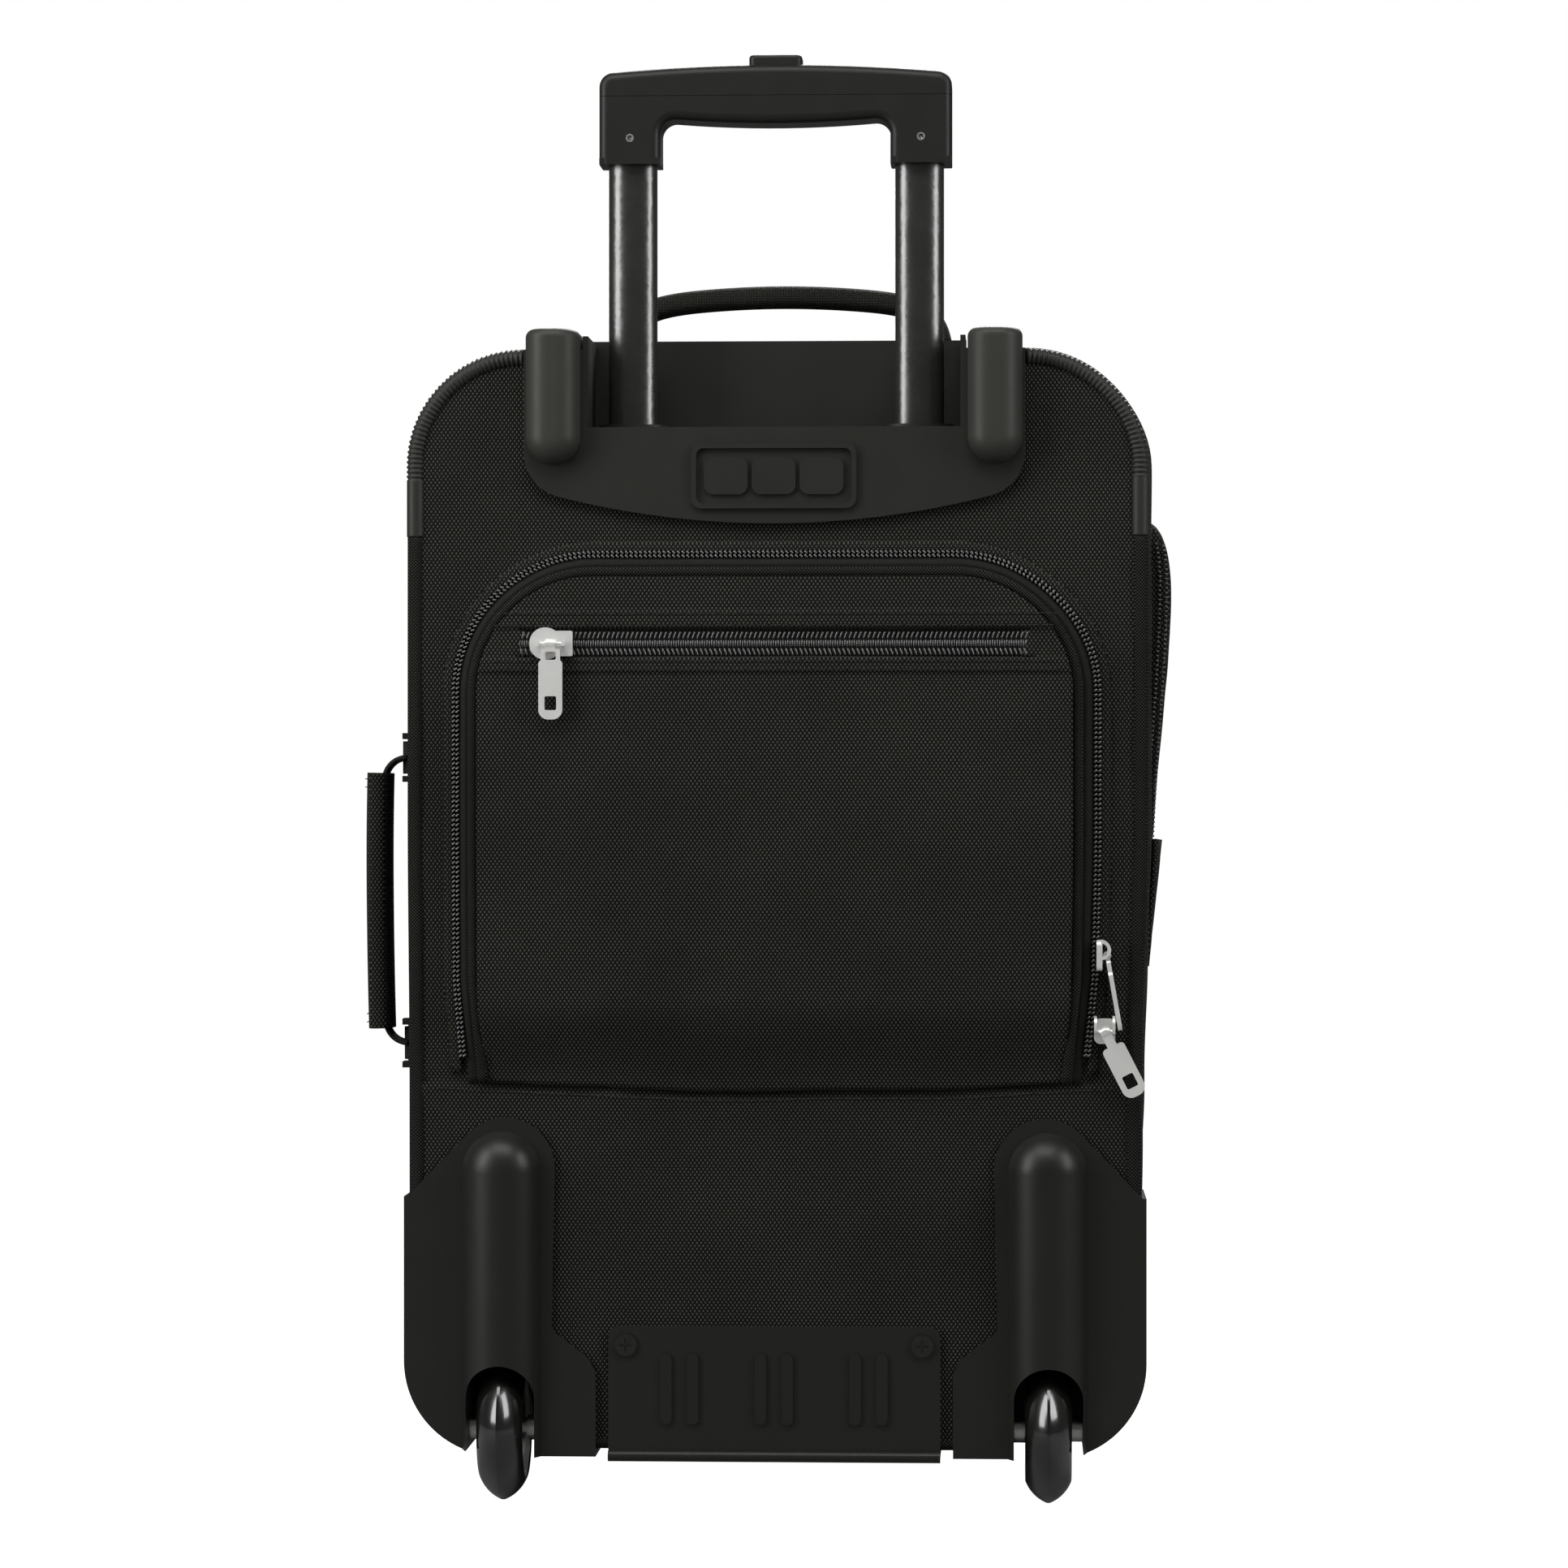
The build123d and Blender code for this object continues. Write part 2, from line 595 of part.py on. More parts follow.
def strap_arch(points, span, width, thickness, radius, axis_z):
    """A strap bowed over its two pivots, with a sleeve at each end."""
    centre_y = 0
    path = Spline(*[(x, centre_y, axis_z + z) for x, z in points])
    section = Plane(path @ 0, x_dir=(0, 1, 0), z_dir=path % 0) * RectangleRounded(width, thickness, radius)
    part = sweep(section, path)
    for sign in (-1, 1):
        part += rod_x(4.6, sign * span / 2 - 8, sign * span / 2 + 8, centre_y, axis_z)
    for sign in (-1, 1):
        part -= rod_x(2.35, sign * span / 2 - 12, sign * span / 2 + 12, centre_y, axis_z)
    return part


def top_carry_handle():
    points = [(-78, 4), (-71, 13), (-58, 22.5), (0, 27.5), (58, 22.5), (71, 13), (78, 4)]
    return strap_arch(points, 156, 22, 10.5, 4, CASE_Z1 + 6.7)


def side_carry_handle():
    points = [(-70, 4), (-66, 10), (-58, 14), (0, 14.5), (58, 14), (66, 10), (70, 4)]
    part = strap_arch(points, 140, 18, 4, 1.5, 0)
    pad = Pos(0, 0, 14.5) * Box(126, 27, 12)
    part += fillet(pad.edges().filter_by(Axis.X), 4.5)
    return Pos(-HALF_W - 6.7, -30, 286) * Rot(0, -90, 0) * part


# Sliders and pulls, drawn facing -Y with the bail bar along X

def bail_cheek(x0):
    """One side of the D-shaped loop that stands on a slider and carries the pull's bar."""
    ring = rod_x(4.7, x0, x0 + 1.3, -2.4, 2.6) - rod_x(3.1, x0, x0 + 1.3, -2.4, 2.6)
    return ring & box(x0, x0 + 1.3, -8, -2.4, -6, 9)


def slider(half_x, half_z):
    """A slider for a zip that runs up and down, with its nose upward."""
    body = plate(rect(-half_x, half_x, -half_z, half_z, 3), -3.0, -0.3)
    body += bail_cheek(-half_x) + bail_cheek(half_x - 1.3)
    return body + rod_x(BAR_R, 0.5 - half_x, half_x - 0.5, BAR_Y, 0)


def wide_slider():
    """A slider for a level zip: a round nose, narrower shoulders and a bridge for the pull."""
    body = plate(rect(-10.2, 4.8, -7.6, 7.6, 7.3), -3.0, -0.3)
    body += plate(rect(-3, 10.2, -6.0, 6.0, 0.8), -3.0, -0.3)
    for x0 in (-6.6, 5.1):
        body += box(x0, x0 + 1.5, BAR_Y - 0.8, -2.8, -1.2, 1.2)
    return body + rod_x(BAR_R, -5.6, 5.6, BAR_Y, 0)


def pull(length, neck):
    """A pull hanging from its bar: a knuckle, a neck with an eye in it, and a plate with a window."""
    y0, y1 = BAR_Y - PULL_T / 2, BAR_Y + PULL_T / 2
    part = plate(rect(-PULL_W / 2, PULL_W / 2, -length + 6, -7.8, 2), y0, y1)
    part += plate(rect(-PULL_W / 2, PULL_W / 2, -length, -length + 13, 4.6), y0, y1)
    part += plate(rect(-neck, neck, -9.4, -2.6, 1), y0, y1) + box(-2.4, 2.4, y0, y1, -4.4, -0.5)
    part += rod_x(1.9, -2.4, 2.4, BAR_Y, 0)
    part -= plate(rect(-2.8, 2.8, -length + 4.4, -length + 11.0, 0.8), y0 - 1, y1 + 1)
    if neck > 3:
        part -= plate(rect(-2.6, 2.6, -7.8, -3.9, 0.8), y0 - 1, y1 + 1)
    return part


def hung(tab, out=0, aside=0):
    """A pull turned on its bar, outward or aside, and bored again for the bar."""
    turned = Pos(0, BAR_Y, 0) * Rot(-out, -aside, 0) * Pos(0, -BAR_Y, 0) * tab
    turned -= box(-6, 6, BAR_Y - 5, BAR_Y + 5, 0, 6) - rod_x(2.05, -6, 6, BAR_Y, 0)
    return turned - rod_x(BAR_R + 0.3, -6, 6, BAR_Y, 0)


def slider_set(name, place, body, tab, joined=False):
    """A slider and its pull, placed on the case; joined puts both in one file."""
    if joined:
        return {name + "_slider": [place * body, place * tab]}
    return {name + "_slider": [place * body], name + "_pull": [place * tab]}


def build_case():
    collars = [guide_collar(-1), guide_collar(1)]
    anchors = [handle_anchor_top(-78), handle_anchor_top(78), handle_anchor_side(216), handle_anchor_side(356)]
    return {
        "back_panel": [back_panel()],
        "tub_gusset": [tub_gusset()],
        "frame_hoop": [frame_hoop()],
        "back_board": [back_board()],
        "top_housing": [top_housing()],
        "top_bumpers": both(bumper()),
        "guide_tubes": [guide_tube(-1), guide_tube(1)],
        "guide_collars": collars,
        "tube_foot_bracket": [tube_foot_bracket()],
        "wheel_housing_left": [flipped(wheel_housing())],
        "wheel_housing_right": [wheel_housing()],
        "wheel_axles": both(axle_set()),
        "skid_plate": [skid_plate()],
        "skid_plate_screws": [skid_screw(-70.5), skid_screw(70.5)],
        "front_feet": both(front_foot()),
        "corner_guards": both(corner_guard()),
        "rear_piping": both(rear_pipe()),
        "main_zipper_tub_half": [zipper_half(TUB_Y1 + GAP, SPLIT_Y - 0.1, SPLIT_Y - 3, SPLIT_Y - 0.1)],
        "arch_zipper_outer_half": [arch_zipper_outer()],
        "side_pocket": [side_pocket()],
        "handle_anchors": anchors,
        "tie_straps": tie_straps(),
    }


def build_handle():
    return {
        "grip_upper_shell": [grip_upper()],
        "grip_lower_shell": [grip_lower()],
        "stage_tubes": [stage_tube(-1), stage_tube(1)],
        "grip_rivets": [grip_rivet(-1), grip_rivet(1)],
        "lock_blocks": both(lock_block()),
        "release_button": [release_button()],
        "release_fork": [release_fork()],
        "lock_pin_left": [flipped(lock_pin())],
        "lock_pin_right": [lock_pin()],
    }


def build_wheels():
    nodes = {}
    for side, place in (("right", lambda part: part), ("left", flipped)):
        nodes["tyre_" + side] = [place(tyre())]
        nodes["hub_" + side] = [place(hub())]
        nodes["bearings_" + side] = [place(part) for part in bearings()]
    return nodes


def build_soft_parts():
    return {
        "lid_panel": [lid_panel()],
        "lid_piping": [lid_piping()],
        "main_zipper_lid_half": [zipper_half(SPLIT_Y + 0.1, LID_Y0 - GAP, SPLIT_Y + 0.1, SPLIT_Y + 3)],
        "front_pocket_upper": [soft_box(-150, 150, 338, 528, 34, LID_Y1 + GAP, 106, 12)],
        "front_pocket_lower": [soft_box(-156, 156, 46, 326, 34, LID_Y1 + GAP, 113, 14)],
        "arch_flap": [arch_flap()],
        "arch_zipper_inner_half": [flap_zipper()],
        "pocket_zipper": [pocket_zipper()],
        "top_carry_handle": [top_carry_handle()],
        "side_carry_handle": [side_carry_handle()],
    }


def build_sliders():
    right = Rot(0, 0, 90)
    left = Rot(0, 0, -90)
    front = Rot(0, 0, 180)
    straight = hung(pull(PULL_L, 4.6))
    short = hung(pull(26, 4.6))
    wall = -HALF_W - 0.9
    nodes = slider_set("back_pocket", Pos(-105, FLAP_Y - 0.6, POCKET_Z), wide_slider(), straight)
    nodes.update(slider_set("arch_upper", Pos(ARCH_SLIDER_X, BACK_Y - 8, 262) * right, slider(4.2, 7.3),
                            hung(pull(PULL_L, 4.6), out=10)))
    nodes.update(slider_set("arch_lower", Pos(ARCH_SLIDER_X + 4.2, BACK_Y - 1.9, 226), slider(5.0, 6),
                            hung(pull(34, 2.4), aside=27)))
    for name, z in (("main_upper", 322), ("main_lower", 262)):
        nodes.update(slider_set(name, Pos(wall, SPLIT_Y, z) * left, slider(5.5, 8), straight))
    for name, y, z in (("front_upper", 106, 492), ("front_lower", 113, 286)):
        nodes.update(slider_set(name, Pos(-104, y, z) * front, wide_slider(), short, True))
    side = Pos(HALF_W + 8.5, 14.6, 425) * front
    nodes.update(slider_set("side_pocket", side, slider(5.4, 7), short, True))
    return nodes


def main():
    os.makedirs("parts", exist_ok=True)
    nodes = {}
    for group in (build_case, build_handle, build_wheels, build_soft_parts, build_sliders):
        nodes.update(group())
    for name, solids in nodes.items():
        shape = solids[0] if len(solids) == 1 else Compound(children=solids)
        export_step(shape, os.path.join("parts", name + ".step"))


main()
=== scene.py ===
import math

import bpy
import numpy as np
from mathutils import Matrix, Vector, noise
from mathutils.bvhtree import BVHTree


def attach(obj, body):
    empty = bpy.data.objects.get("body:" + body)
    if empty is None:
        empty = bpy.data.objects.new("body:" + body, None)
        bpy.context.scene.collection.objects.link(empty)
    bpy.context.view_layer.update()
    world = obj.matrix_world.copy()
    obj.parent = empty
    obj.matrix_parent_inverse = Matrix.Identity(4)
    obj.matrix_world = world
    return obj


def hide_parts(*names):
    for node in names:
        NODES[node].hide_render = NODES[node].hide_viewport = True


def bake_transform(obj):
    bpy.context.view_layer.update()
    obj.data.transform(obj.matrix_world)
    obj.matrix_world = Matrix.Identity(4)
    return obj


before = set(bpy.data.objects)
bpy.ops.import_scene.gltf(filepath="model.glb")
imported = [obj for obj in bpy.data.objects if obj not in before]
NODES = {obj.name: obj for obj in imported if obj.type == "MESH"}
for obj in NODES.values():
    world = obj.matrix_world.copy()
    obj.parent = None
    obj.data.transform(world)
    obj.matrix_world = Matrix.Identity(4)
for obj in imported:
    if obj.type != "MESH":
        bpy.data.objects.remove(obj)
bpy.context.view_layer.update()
MM = 0.001

# The case, in millimetres, as it is in the CAD
HALF_W = 174.5
CASE_Z = (25.0, 550.0)
TOP_R = 54.0
BOTTOM_R = 43.0
BACK_Y = -97.0
SPLIT_Y = 35.0
LID_Y = 81.0
SLACK = 1.4  # how far the cloth walls stand out from the CAD's outline

# The big flap on the back, and the zipped pocket in it
FLAP_X = 151.5
FLAP_TOP = 452.5
FLAP_R = 66.0
FLAP_Y = -110.0
FLAP_BASE = BACK_Y - 1.0
HINGE_Z = 199.5
POCKET_Z = 409.5
POCKET_END = 117.0

# The rear corner guards and piping
PIPING_Y = -95.2
PIPING_FOOT = 146
GUARD_FOOT = 461
RIBS_FROM = 488
RIB_PITCH = 2.3

# The carry handles' pivots
PIVOT_OUT = 6.7
TOP_PIVOTS = (("left", -78), ("right", 78))
SIDE_PIVOTS = (("low", 216), ("high", 356))
SIDE_HANDLE_Z = 286
SIDE_HANDLE_Y = -30
SLEEVE = 8  # half the length of the sleeve round each pivot

# Zip teeth and thread
PITCH = 2.25
STITCH = 3.2
TOOTH = (3.3, 1.25, 1.6)
THREAD_SIZE = (0.55, 0.45, 0.4)


# ---------------------------------------------------------------- materials

class Nodes:
    """A material's node tree with short calls for making and joining nodes."""

    def __init__(self, name):
        self.material = bpy.data.materials.new(name)
        self.material.use_nodes = True
        self.tree = self.material.node_tree
        self.tree.nodes.clear()
        self.out = self.tree.nodes.new("ShaderNodeOutputMaterial")
        self.shader = self.tree.nodes.new("ShaderNodeBsdfPrincipled")
        self.join(self.shader.outputs[0], self.out.inputs["Surface"])

    def join(self, a, b):
        self.tree.links.new(a, b)

    def put(self, value, socket):
        if isinstance(value, bpy.types.NodeSocket):
            self.join(value, socket)
        else:
            socket.default_value = value

    def math(self, operation, a, b=0.0, c=0.0):
        node = self.tree.nodes.new("ShaderNodeMath")
        node.operation = operation
        for value, socket in zip((a, b, c), node.inputs):
            self.put(value, socket)
        return node.outputs[0]

    def mix(self, factor, a, b):
        """A number between a and b."""
        node = self.tree.nodes.new("ShaderNodeMix")
        self.put(factor, node.inputs["Factor"])
        self.put(a, node.inputs["A"])
        self.put(b, node.inputs["B"])
        return node.outputs["Result"]

    def colour(self, factor, a, b):
        node = self.tree.nodes.new("ShaderNodeMix")
        node.data_type = "RGBA"
        self.put(factor, node.inputs[0])
        node.inputs[6].default_value = (*a, 1)
        node.inputs[7].default_value = (*b, 1)
        return node.outputs[2]

    def noise(self, scale, detail=3.0, rough=0.55, vector=None):
        node = self.tree.nodes.new("ShaderNodeTexNoise")
        node.inputs["Scale"].default_value = scale
        node.inputs["Detail"].default_value = detail
        node.inputs["Roughness"].default_value = rough
        self.join(vector or self.where(), node.inputs["Vector"])
        return node.outputs["Fac"]

    def where(self):
        return self.tree.nodes.new("ShaderNodeTexCoord").outputs["Object"]

    def split(self, vector):
        node = self.tree.nodes.new("ShaderNodeSeparateXYZ")
        self.join(vector, node.inputs[0])
        return node.outputs

    def bump(self, height, distance, strength=1.0, under=None):
        node = self.tree.nodes.new("ShaderNodeBump")
        node.inputs["Strength"].default_value = strength
        node.inputs["Distance"].default_value = distance
        self.join(height, node.inputs["Height"])
        if under is not None:
            self.join(under, node.inputs["Normal"])
        return node.outputs[0]

    def set(self, **values):
        for name, value in values.items():
            self.put(value, self.shader.inputs[name.replace("_", " ")])


def flat_uv(n):
    """Two coordinates along the cloth, chosen by the way the surface faces, in millimetres."""
    place = n.tree.nodes.new("ShaderNodeTexCoord")
    x, y, z = n.split(place.outputs["Object"])
    nx, ny, nz = (n.math("ABSOLUTE", s) for s in n.split(place.outputs["Normal"]))
    side = n.math("GREATER_THAN", nx, n.math("MAXIMUM", ny, nz))
    top = n.math("GREATER_THAN", nz, n.math("MAXIMUM", nx, ny))
    u = n.math("MULTIPLY", n.mix(side, x, y), 1000.0)
    v = n.math("MULTIPLY", n.mix(top, z, y), 1000.0)
    return u, v


def weave(name, dark, light, cell, depth, rough=0.62, turn=False, weft=0.06, tall=1.0):
    """A plain basket weave: raised threads in a chequer of warp and weft, turned 45 degrees for a braid. Its
    colour holds painted light: the warp crowns are painted lighter as a painted highlight, and the gaps and
    weft threads stay dark as painted shade.
    """
    n = Nodes(name)
    u, v = flat_uv(n)
    if turn:
        u, v = n.math("ADD", u, v), n.math("SUBTRACT", u, v)
    wander = n.math("MULTIPLY", n.noise(90.0, 2.0), 0.5)
    u = n.math("ADD", n.math("DIVIDE", u, cell), wander)
    v = n.math("ADD", n.math("DIVIDE", v, cell * tall), wander)
    across = n.math("ABSOLUTE", n.math("SINE", n.math("MULTIPLY", u, math.pi)))
    along = n.math("ABSOLUTE", n.math("SINE", n.math("MULTIPLY", v, math.pi)))
    count = n.math("ADD", n.math("FLOOR", u), n.math("FLOOR", v))
    warp = n.math("GREATER_THAN", n.math("ABSOLUTE", n.math("MODULO", count, 2.0)), 0.5)
    ridge = n.math("MULTIPLY", across, along)
    height = n.math("MULTIPLY", n.math("POWER", ridge, 0.65), n.mix(warp, weft, 1.0))
    patch = n.noise(14.0, 4.0)
    # Painted highlight and shade: the base colour runs from the dark colour in the gaps and weft cells to the
    # light colour on the raised warp crowns; the noise varies the painted highlight's strength at random.
    shine = n.math("MULTIPLY", height, n.math("MULTIPLY_ADD", patch, 0.9, 0.5))
    n.set(Base_Color=n.colour(shine, dark, light))
    n.set(Roughness=n.mix(height, 0.95, rough))
    soft = n.bump(n.noise(35.0, 3.0), 0.0009, 0.5)
    n.set(Normal=n.bump(height, depth, 0.9, soft), Specular_IOR_Level=0.1)
    return n.material


def plastic(name, colour, rough, grain, depth, coat=0.0, smudge=0.5, shine=0.22):
    """Moulded plastic or rubber: a fine grain and soft smudges."""
    n = Nodes(name)
    worn = n.math("MULTIPLY", n.noise(9.0, 5.0, 0.6), smudge)
    light = tuple(min(1.0, c * 1.5 + 0.0006) for c in colour)
    n.set(Base_Color=n.colour(worn, colour, light))
    streak = n.noise(55.0, 4.0, 0.7)
    n.set(Roughness=n.math("MULTIPLY_ADD", streak, 0.16, rough - 0.08))
    n.set(Normal=n.bump(n.noise(grain, 2.0), depth, 0.6), Coat_Weight=coat, Coat_Roughness=0.08)
    n.set(Specular_IOR_Level=shine)
    return n.material


def metal(name, colour, rough, scratch=0.00003, metallic=1.0):
    """Metal with a soft satin finish and faint wear."""
    n = Nodes(name)
    n.set(Base_Color=n.colour(n.noise(60.0), colour, tuple(c * 0.86 for c in colour)))
    n.set(Metallic=metallic, Roughness=n.math("MULTIPLY_ADD", n.noise(220.0), 0.12, rough - 0.06))
    n.set(Normal=n.bump(n.noise(500.0, 2.0), scratch, 0.3))
    return n.material


# The black of the nylon, darkened further as painted shade for the gaps between threads and the weft cells;
# each weave's second colour is the painted highlight on its raised threads.
NYLON_BLACK_AND_GAP_SHADE = (0.0012, 0.0012, 0.0009)
BALLISTIC = weave("ballistic_nylon", NYLON_BLACK_AND_GAP_SHADE, (0.056, 0.0575, 0.048), 1.0, 0.00045, tall=1.41)
FINE = weave("binding_weave", NYLON_BLACK_AND_GAP_SHADE, (0.036, 0.037, 0.031), 0.8, 0.0003)
LINING = weave("lining_cloth", (0.03, 0.03, 0.032), (0.07, 0.07, 0.074), 0.5, 0.0001, 0.7, False, 0.8)
WEBBING = weave("handle_braid", (0.002, 0.002, 0.0016), (0.050, 0.0515, 0.043), 1.3, 0.0005, 0.6, True, 0.5)
TAPE = weave("satin_tape", (0.003, 0.003, 0.0027), (0.016, 0.016, 0.0145), 0.42, 0.00006, 0.45, False, 0.7)
COIL = plastic("nylon_coil", (0.034, 0.034, 0.033), 0.24, 900.0, 0.00001, 0.5, 0.3, 0.8)
THREAD = plastic("thread", (0.012, 0.012, 0.011), 0.7, 1500.0, 0.0001)
HOUSING = plastic("bezel_plastic", (0.0105, 0.0108, 0.0088), 0.5, 1400.0, 0.00005)
BUMPER = plastic("bumper_rubber", (0.0200, 0.0204, 0.0170), 0.5, 1600.0, 0.00005, 0.0, 0.7)
GUARD = plastic("guard_rubber", (0.0135, 0.0138, 0.0115), 0.5, 1600.0, 0.00006)
SKID = plastic("housing_plastic", (0.0085, 0.0088, 0.0070), 0.4, 1300.0, 0.00004, 0.0, 0.5, 0.26)
GRIP = plastic("grip_plastic", (0.0062, 0.0064, 0.0052), 0.45, 1500.0, 0.00004)
BLOCK = plastic("inner_plastic", (0.012, 0.012, 0.012), 0.5, 900.0, 0.00006)
TYRE = plastic("polyurethane", (0.0035, 0.0036, 0.003), 0.2, 500.0, 0.00001, 0.6, 0.2, 0.5)
HUB = plastic("hub_plastic", (0.80, 0.80, 0.78), 0.35, 500.0, 0.00003, 0.2, 0.3, 0.5)
PAINT = plastic("black_coat", (0.0085, 0.0087, 0.0072), 0.27, 260.0, 0.00001, 0.0, 0.2, 1.0)
NICKEL = metal("satin_nickel", (0.88, 0.875, 0.85), 0.33, 0.00001, 0.6)
STEEL = metal("plain_steel", (0.55, 0.55, 0.54), 0.35)
DARK_STEEL = metal("black_screw", (0.06, 0.06, 0.055), 0.34)
ALLOY = metal("extruded_alloy", (0.66, 0.67, 0.68), 0.34)


# ---------------------------------------------------------------- mesh helpers

def smooth_step(value, low, high):
    t = np.clip((value - low) / (high - low), 0.0, 1.0)
    return t * t * (3 - 2 * t)


def slump(verts):
    """The soft case stands a little wider up its right side than its left."""
    verts = np.array(verts, float)
    x, z = verts[:, 0], verts[:, 2]
    tall = smooth_step(z, 195, 330) * (1 - smooth_step(z, 490, 545))
    verts[:, 0] += tall * (3.4 * smooth_step(x, 118, 172) - 0.9 * smooth_step(-x, 118, 172))
    return verts


def piece(name, verts, faces, materials, body=None, slot=None, replaces=(), smooth=True):
    """Makes one mesh from points in millimetres, hangs it on what it rides on, and hides the CAD parts it
    replaces; what it stands for (its slot) is not used.
    """
    mesh = bpy.data.meshes.new(name)
    mesh.from_pydata((slump(verts) * MM).tolist(), [], faces)
    mesh.validate()
    for material in materials if isinstance(materials, (list, tuple)) else [materials]:
        mesh.materials.append(material)
    if smooth:
        mesh.shade_smooth()
    obj = bpy.data.objects.new(name, mesh)
    bpy.context.scene.collection.objects.link(obj)
    if body:
        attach(obj, body)
    if replaces:
        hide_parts(*replaces)
    return obj


def thicken(obj, thickness, inner_material=None, offset=-1.0):
    """Gives a skin its thickness; the far side may have its own material."""
    mod = obj.modifiers.new("thickness", "SOLIDIFY")
    mod.thickness = thickness * MM
    mod.offset = offset
    if inner_material:
        obj.data.materials.append(inner_material)
        mod.material_offset = 1
    return obj


def grid_faces(rows, columns, wrap=False, flip=False):
    """Quads of a grid of points, row by row; wrap joins the last row to the first."""
    faces = []
    for i in range(rows if wrap else rows - 1):
        k = (i + 1) % rows
        for j in range(columns - 1):
            quad = (i * columns + j, k * columns + j, k * columns + j + 1, i * columns + j + 1)
            faces.append(quad[::-1] if flip else quad)
    return faces


def even(points, step, closed):
    """The same line with points an even distance apart."""
    points = np.asarray(points, float)
    if closed:
        points = np.vstack([points, points[:1]])
    reach = np.concatenate([[0], np.cumsum(np.linalg.norm(np.diff(points, axis=0), axis=1))])
    count = max(2, int(round(reach[-1] / step)))
    at = np.linspace(0, reach[-1], count + 1)
    if closed:
        at = at[:-1]
    return np.stack([np.interp(at, reach, points[:, k]) for k in range(points.shape[1])], 1)


def corner_arc(cx, cz, radius, start, steps=24):
    turn = np.radians(np.linspace(start, start + 90, steps))
    return [(cx + radius * math.cos(a), cz + radius * math.sin(a)) for a in turn]


def rounded_box(x0, x1, z0, z1, low_r, top_r, step):
    """A closed rounded rectangle, anticlockwise from the right side, as X and Z."""
    points = [(x1, (z0 + z1) / 2)]
    points += corner_arc(x1 - top_r, z1 - top_r, top_r, 0)
    points += corner_arc(x0 + top_r, z1 - top_r, top_r, 90)
    points += corner_arc(x0 + low_r, z0 + low_r, low_r, 180)
    points += corner_arc(x1 - low_r, z0 + low_r, low_r, 270)
    return even(points, step, True)


def outline(inset, step=4.0):
    w = HALF_W - inset
    return rounded_box(-w, w, CASE_Z[0] + inset, CASE_Z[1] - inset, BOTTOM_R - inset, TOP_R - inset, step)


def arch(bottom, step, top=FLAP_TOP, half=FLAP_X, radius=FLAP_R):
    """The flap's edge, from its right foot over the top to its left foot."""
    points = [(half - 4.0 * max(0.0, (245 - bottom) / 45), bottom), (half, max(bottom + 1, 250))]
    points += corner_arc(half - radius, top - radius, radius, 0)
    points += corner_arc(radius - half, top - radius, radius, 90)
    points += [(-half, max(bottom + 1, 250)), (4.0 * max(0.0, (245 - bottom) / 45) - half, bottom)]
    return even(points, step, False)


def tangents(line, closed):
    if closed:
        step = np.roll(line, -1, 0) - np.roll(line, 1, 0)
    else:
        step = np.gradient(line, axis=0)
    return step / np.linalg.norm(step, axis=1)[:, None]


def outward(line, closed):
    t = tangents(line, closed)
    return np.stack([t[:, 1], -t[:, 0]], 1)


def moulding(line, section, closed, wobble=None):
    """A section of (outset, depth) points carried along a line drawn in X and Z."""
    n = outward(line, closed)
    verts = []
    for i, (point, normal) in enumerate(zip(line, n)):
        for j, (out, y) in enumerate(section):
            x = point[0] + normal[0] * out
            z = point[1] + normal[1] * out
            if wobble:
                x, y, z = wobble(x, y, z, out, normal)
            verts.append((x, y, z))
    return verts, grid_faces(len(line), len(section), closed)


def tube(name, line, radius, y, closed, material, **says):
    """A round cord along a line; radius may be one number or one for each point."""
    sides = 14
    radii = np.broadcast_to(np.asarray(radius, float), (len(line),))
    depth = np.broadcast_to(np.asarray(y, float), (len(line),))
    n = outward(line, closed)
    verts = []
    for point, normal, r, d in zip(line, n, radii, depth):
        for a in np.linspace(0, 2 * math.pi, sides, endpoint=False):
            out = r * math.cos(a)
            verts.append((point[0] + normal[0] * out, d + r * math.sin(a), point[1] + normal[1] * out))
    faces = []
    rows = len(line)
    for i in range(rows if closed else rows - 1):
        k = (i + 1) % rows
        for j in range(sides):
            m = (j + 1) % sides
            faces.append((i * sides + j, i * sides + m, k * sides + m, k * sides + j))
    if not closed:
        faces.append(tuple(range(sides))[::-1])
        faces.append(tuple((rows - 1) * sides + j for j in range(sides)))
    return piece(name, verts, faces, material, **says)


def bead(length, width, height, taper=0.7):
    """A small rounded bar lying along its second axis, for a tooth or a stitch."""
    sides = 6
    verts = []
    for part, size in ((0.0, taper), (0.14, 1.0), (0.86, 1.0), (1.0, taper)):
        for k in range(sides):
            a = 2 * math.pi * (k + 0.5) / sides
            verts.append((size * width / 2 * math.cos(a), part * length,
                          height / 2 + size * height / 2 * math.sin(a)))
    faces = [tuple(range(sides)), tuple(range(3 * sides, 4 * sides))[::-1]]
    for row in range(3):
        for k in range(sides):
            m = (k + 1) % sides
            faces.append((row * sides + k, (row + 1) * sides + k, (row + 1) * sides + m, row * sides + m))
    return np.array(verts), faces


def scatter(name, template, at, along, across, up, material, **says):
    """Copies of a small shape, one at each place, turned to that place's three directions."""
    shape, shape_faces = template
    at, along, across, up = (np.asarray(v, float) for v in (at, along, across, up))
    verts = (at[:, None, :] + shape[None, :, 0:1] * along[:, None, :] + shape[None, :, 1:2]
             * across[:, None, :] + shape[None, :, 2:3] * up[:, None, :])
    count = len(shape)
    faces = [tuple(i + k * count for i in f) for k in range(len(at)) for f in shape_faces]
    return piece(name, verts.reshape(-1, 3), faces, material, **says)


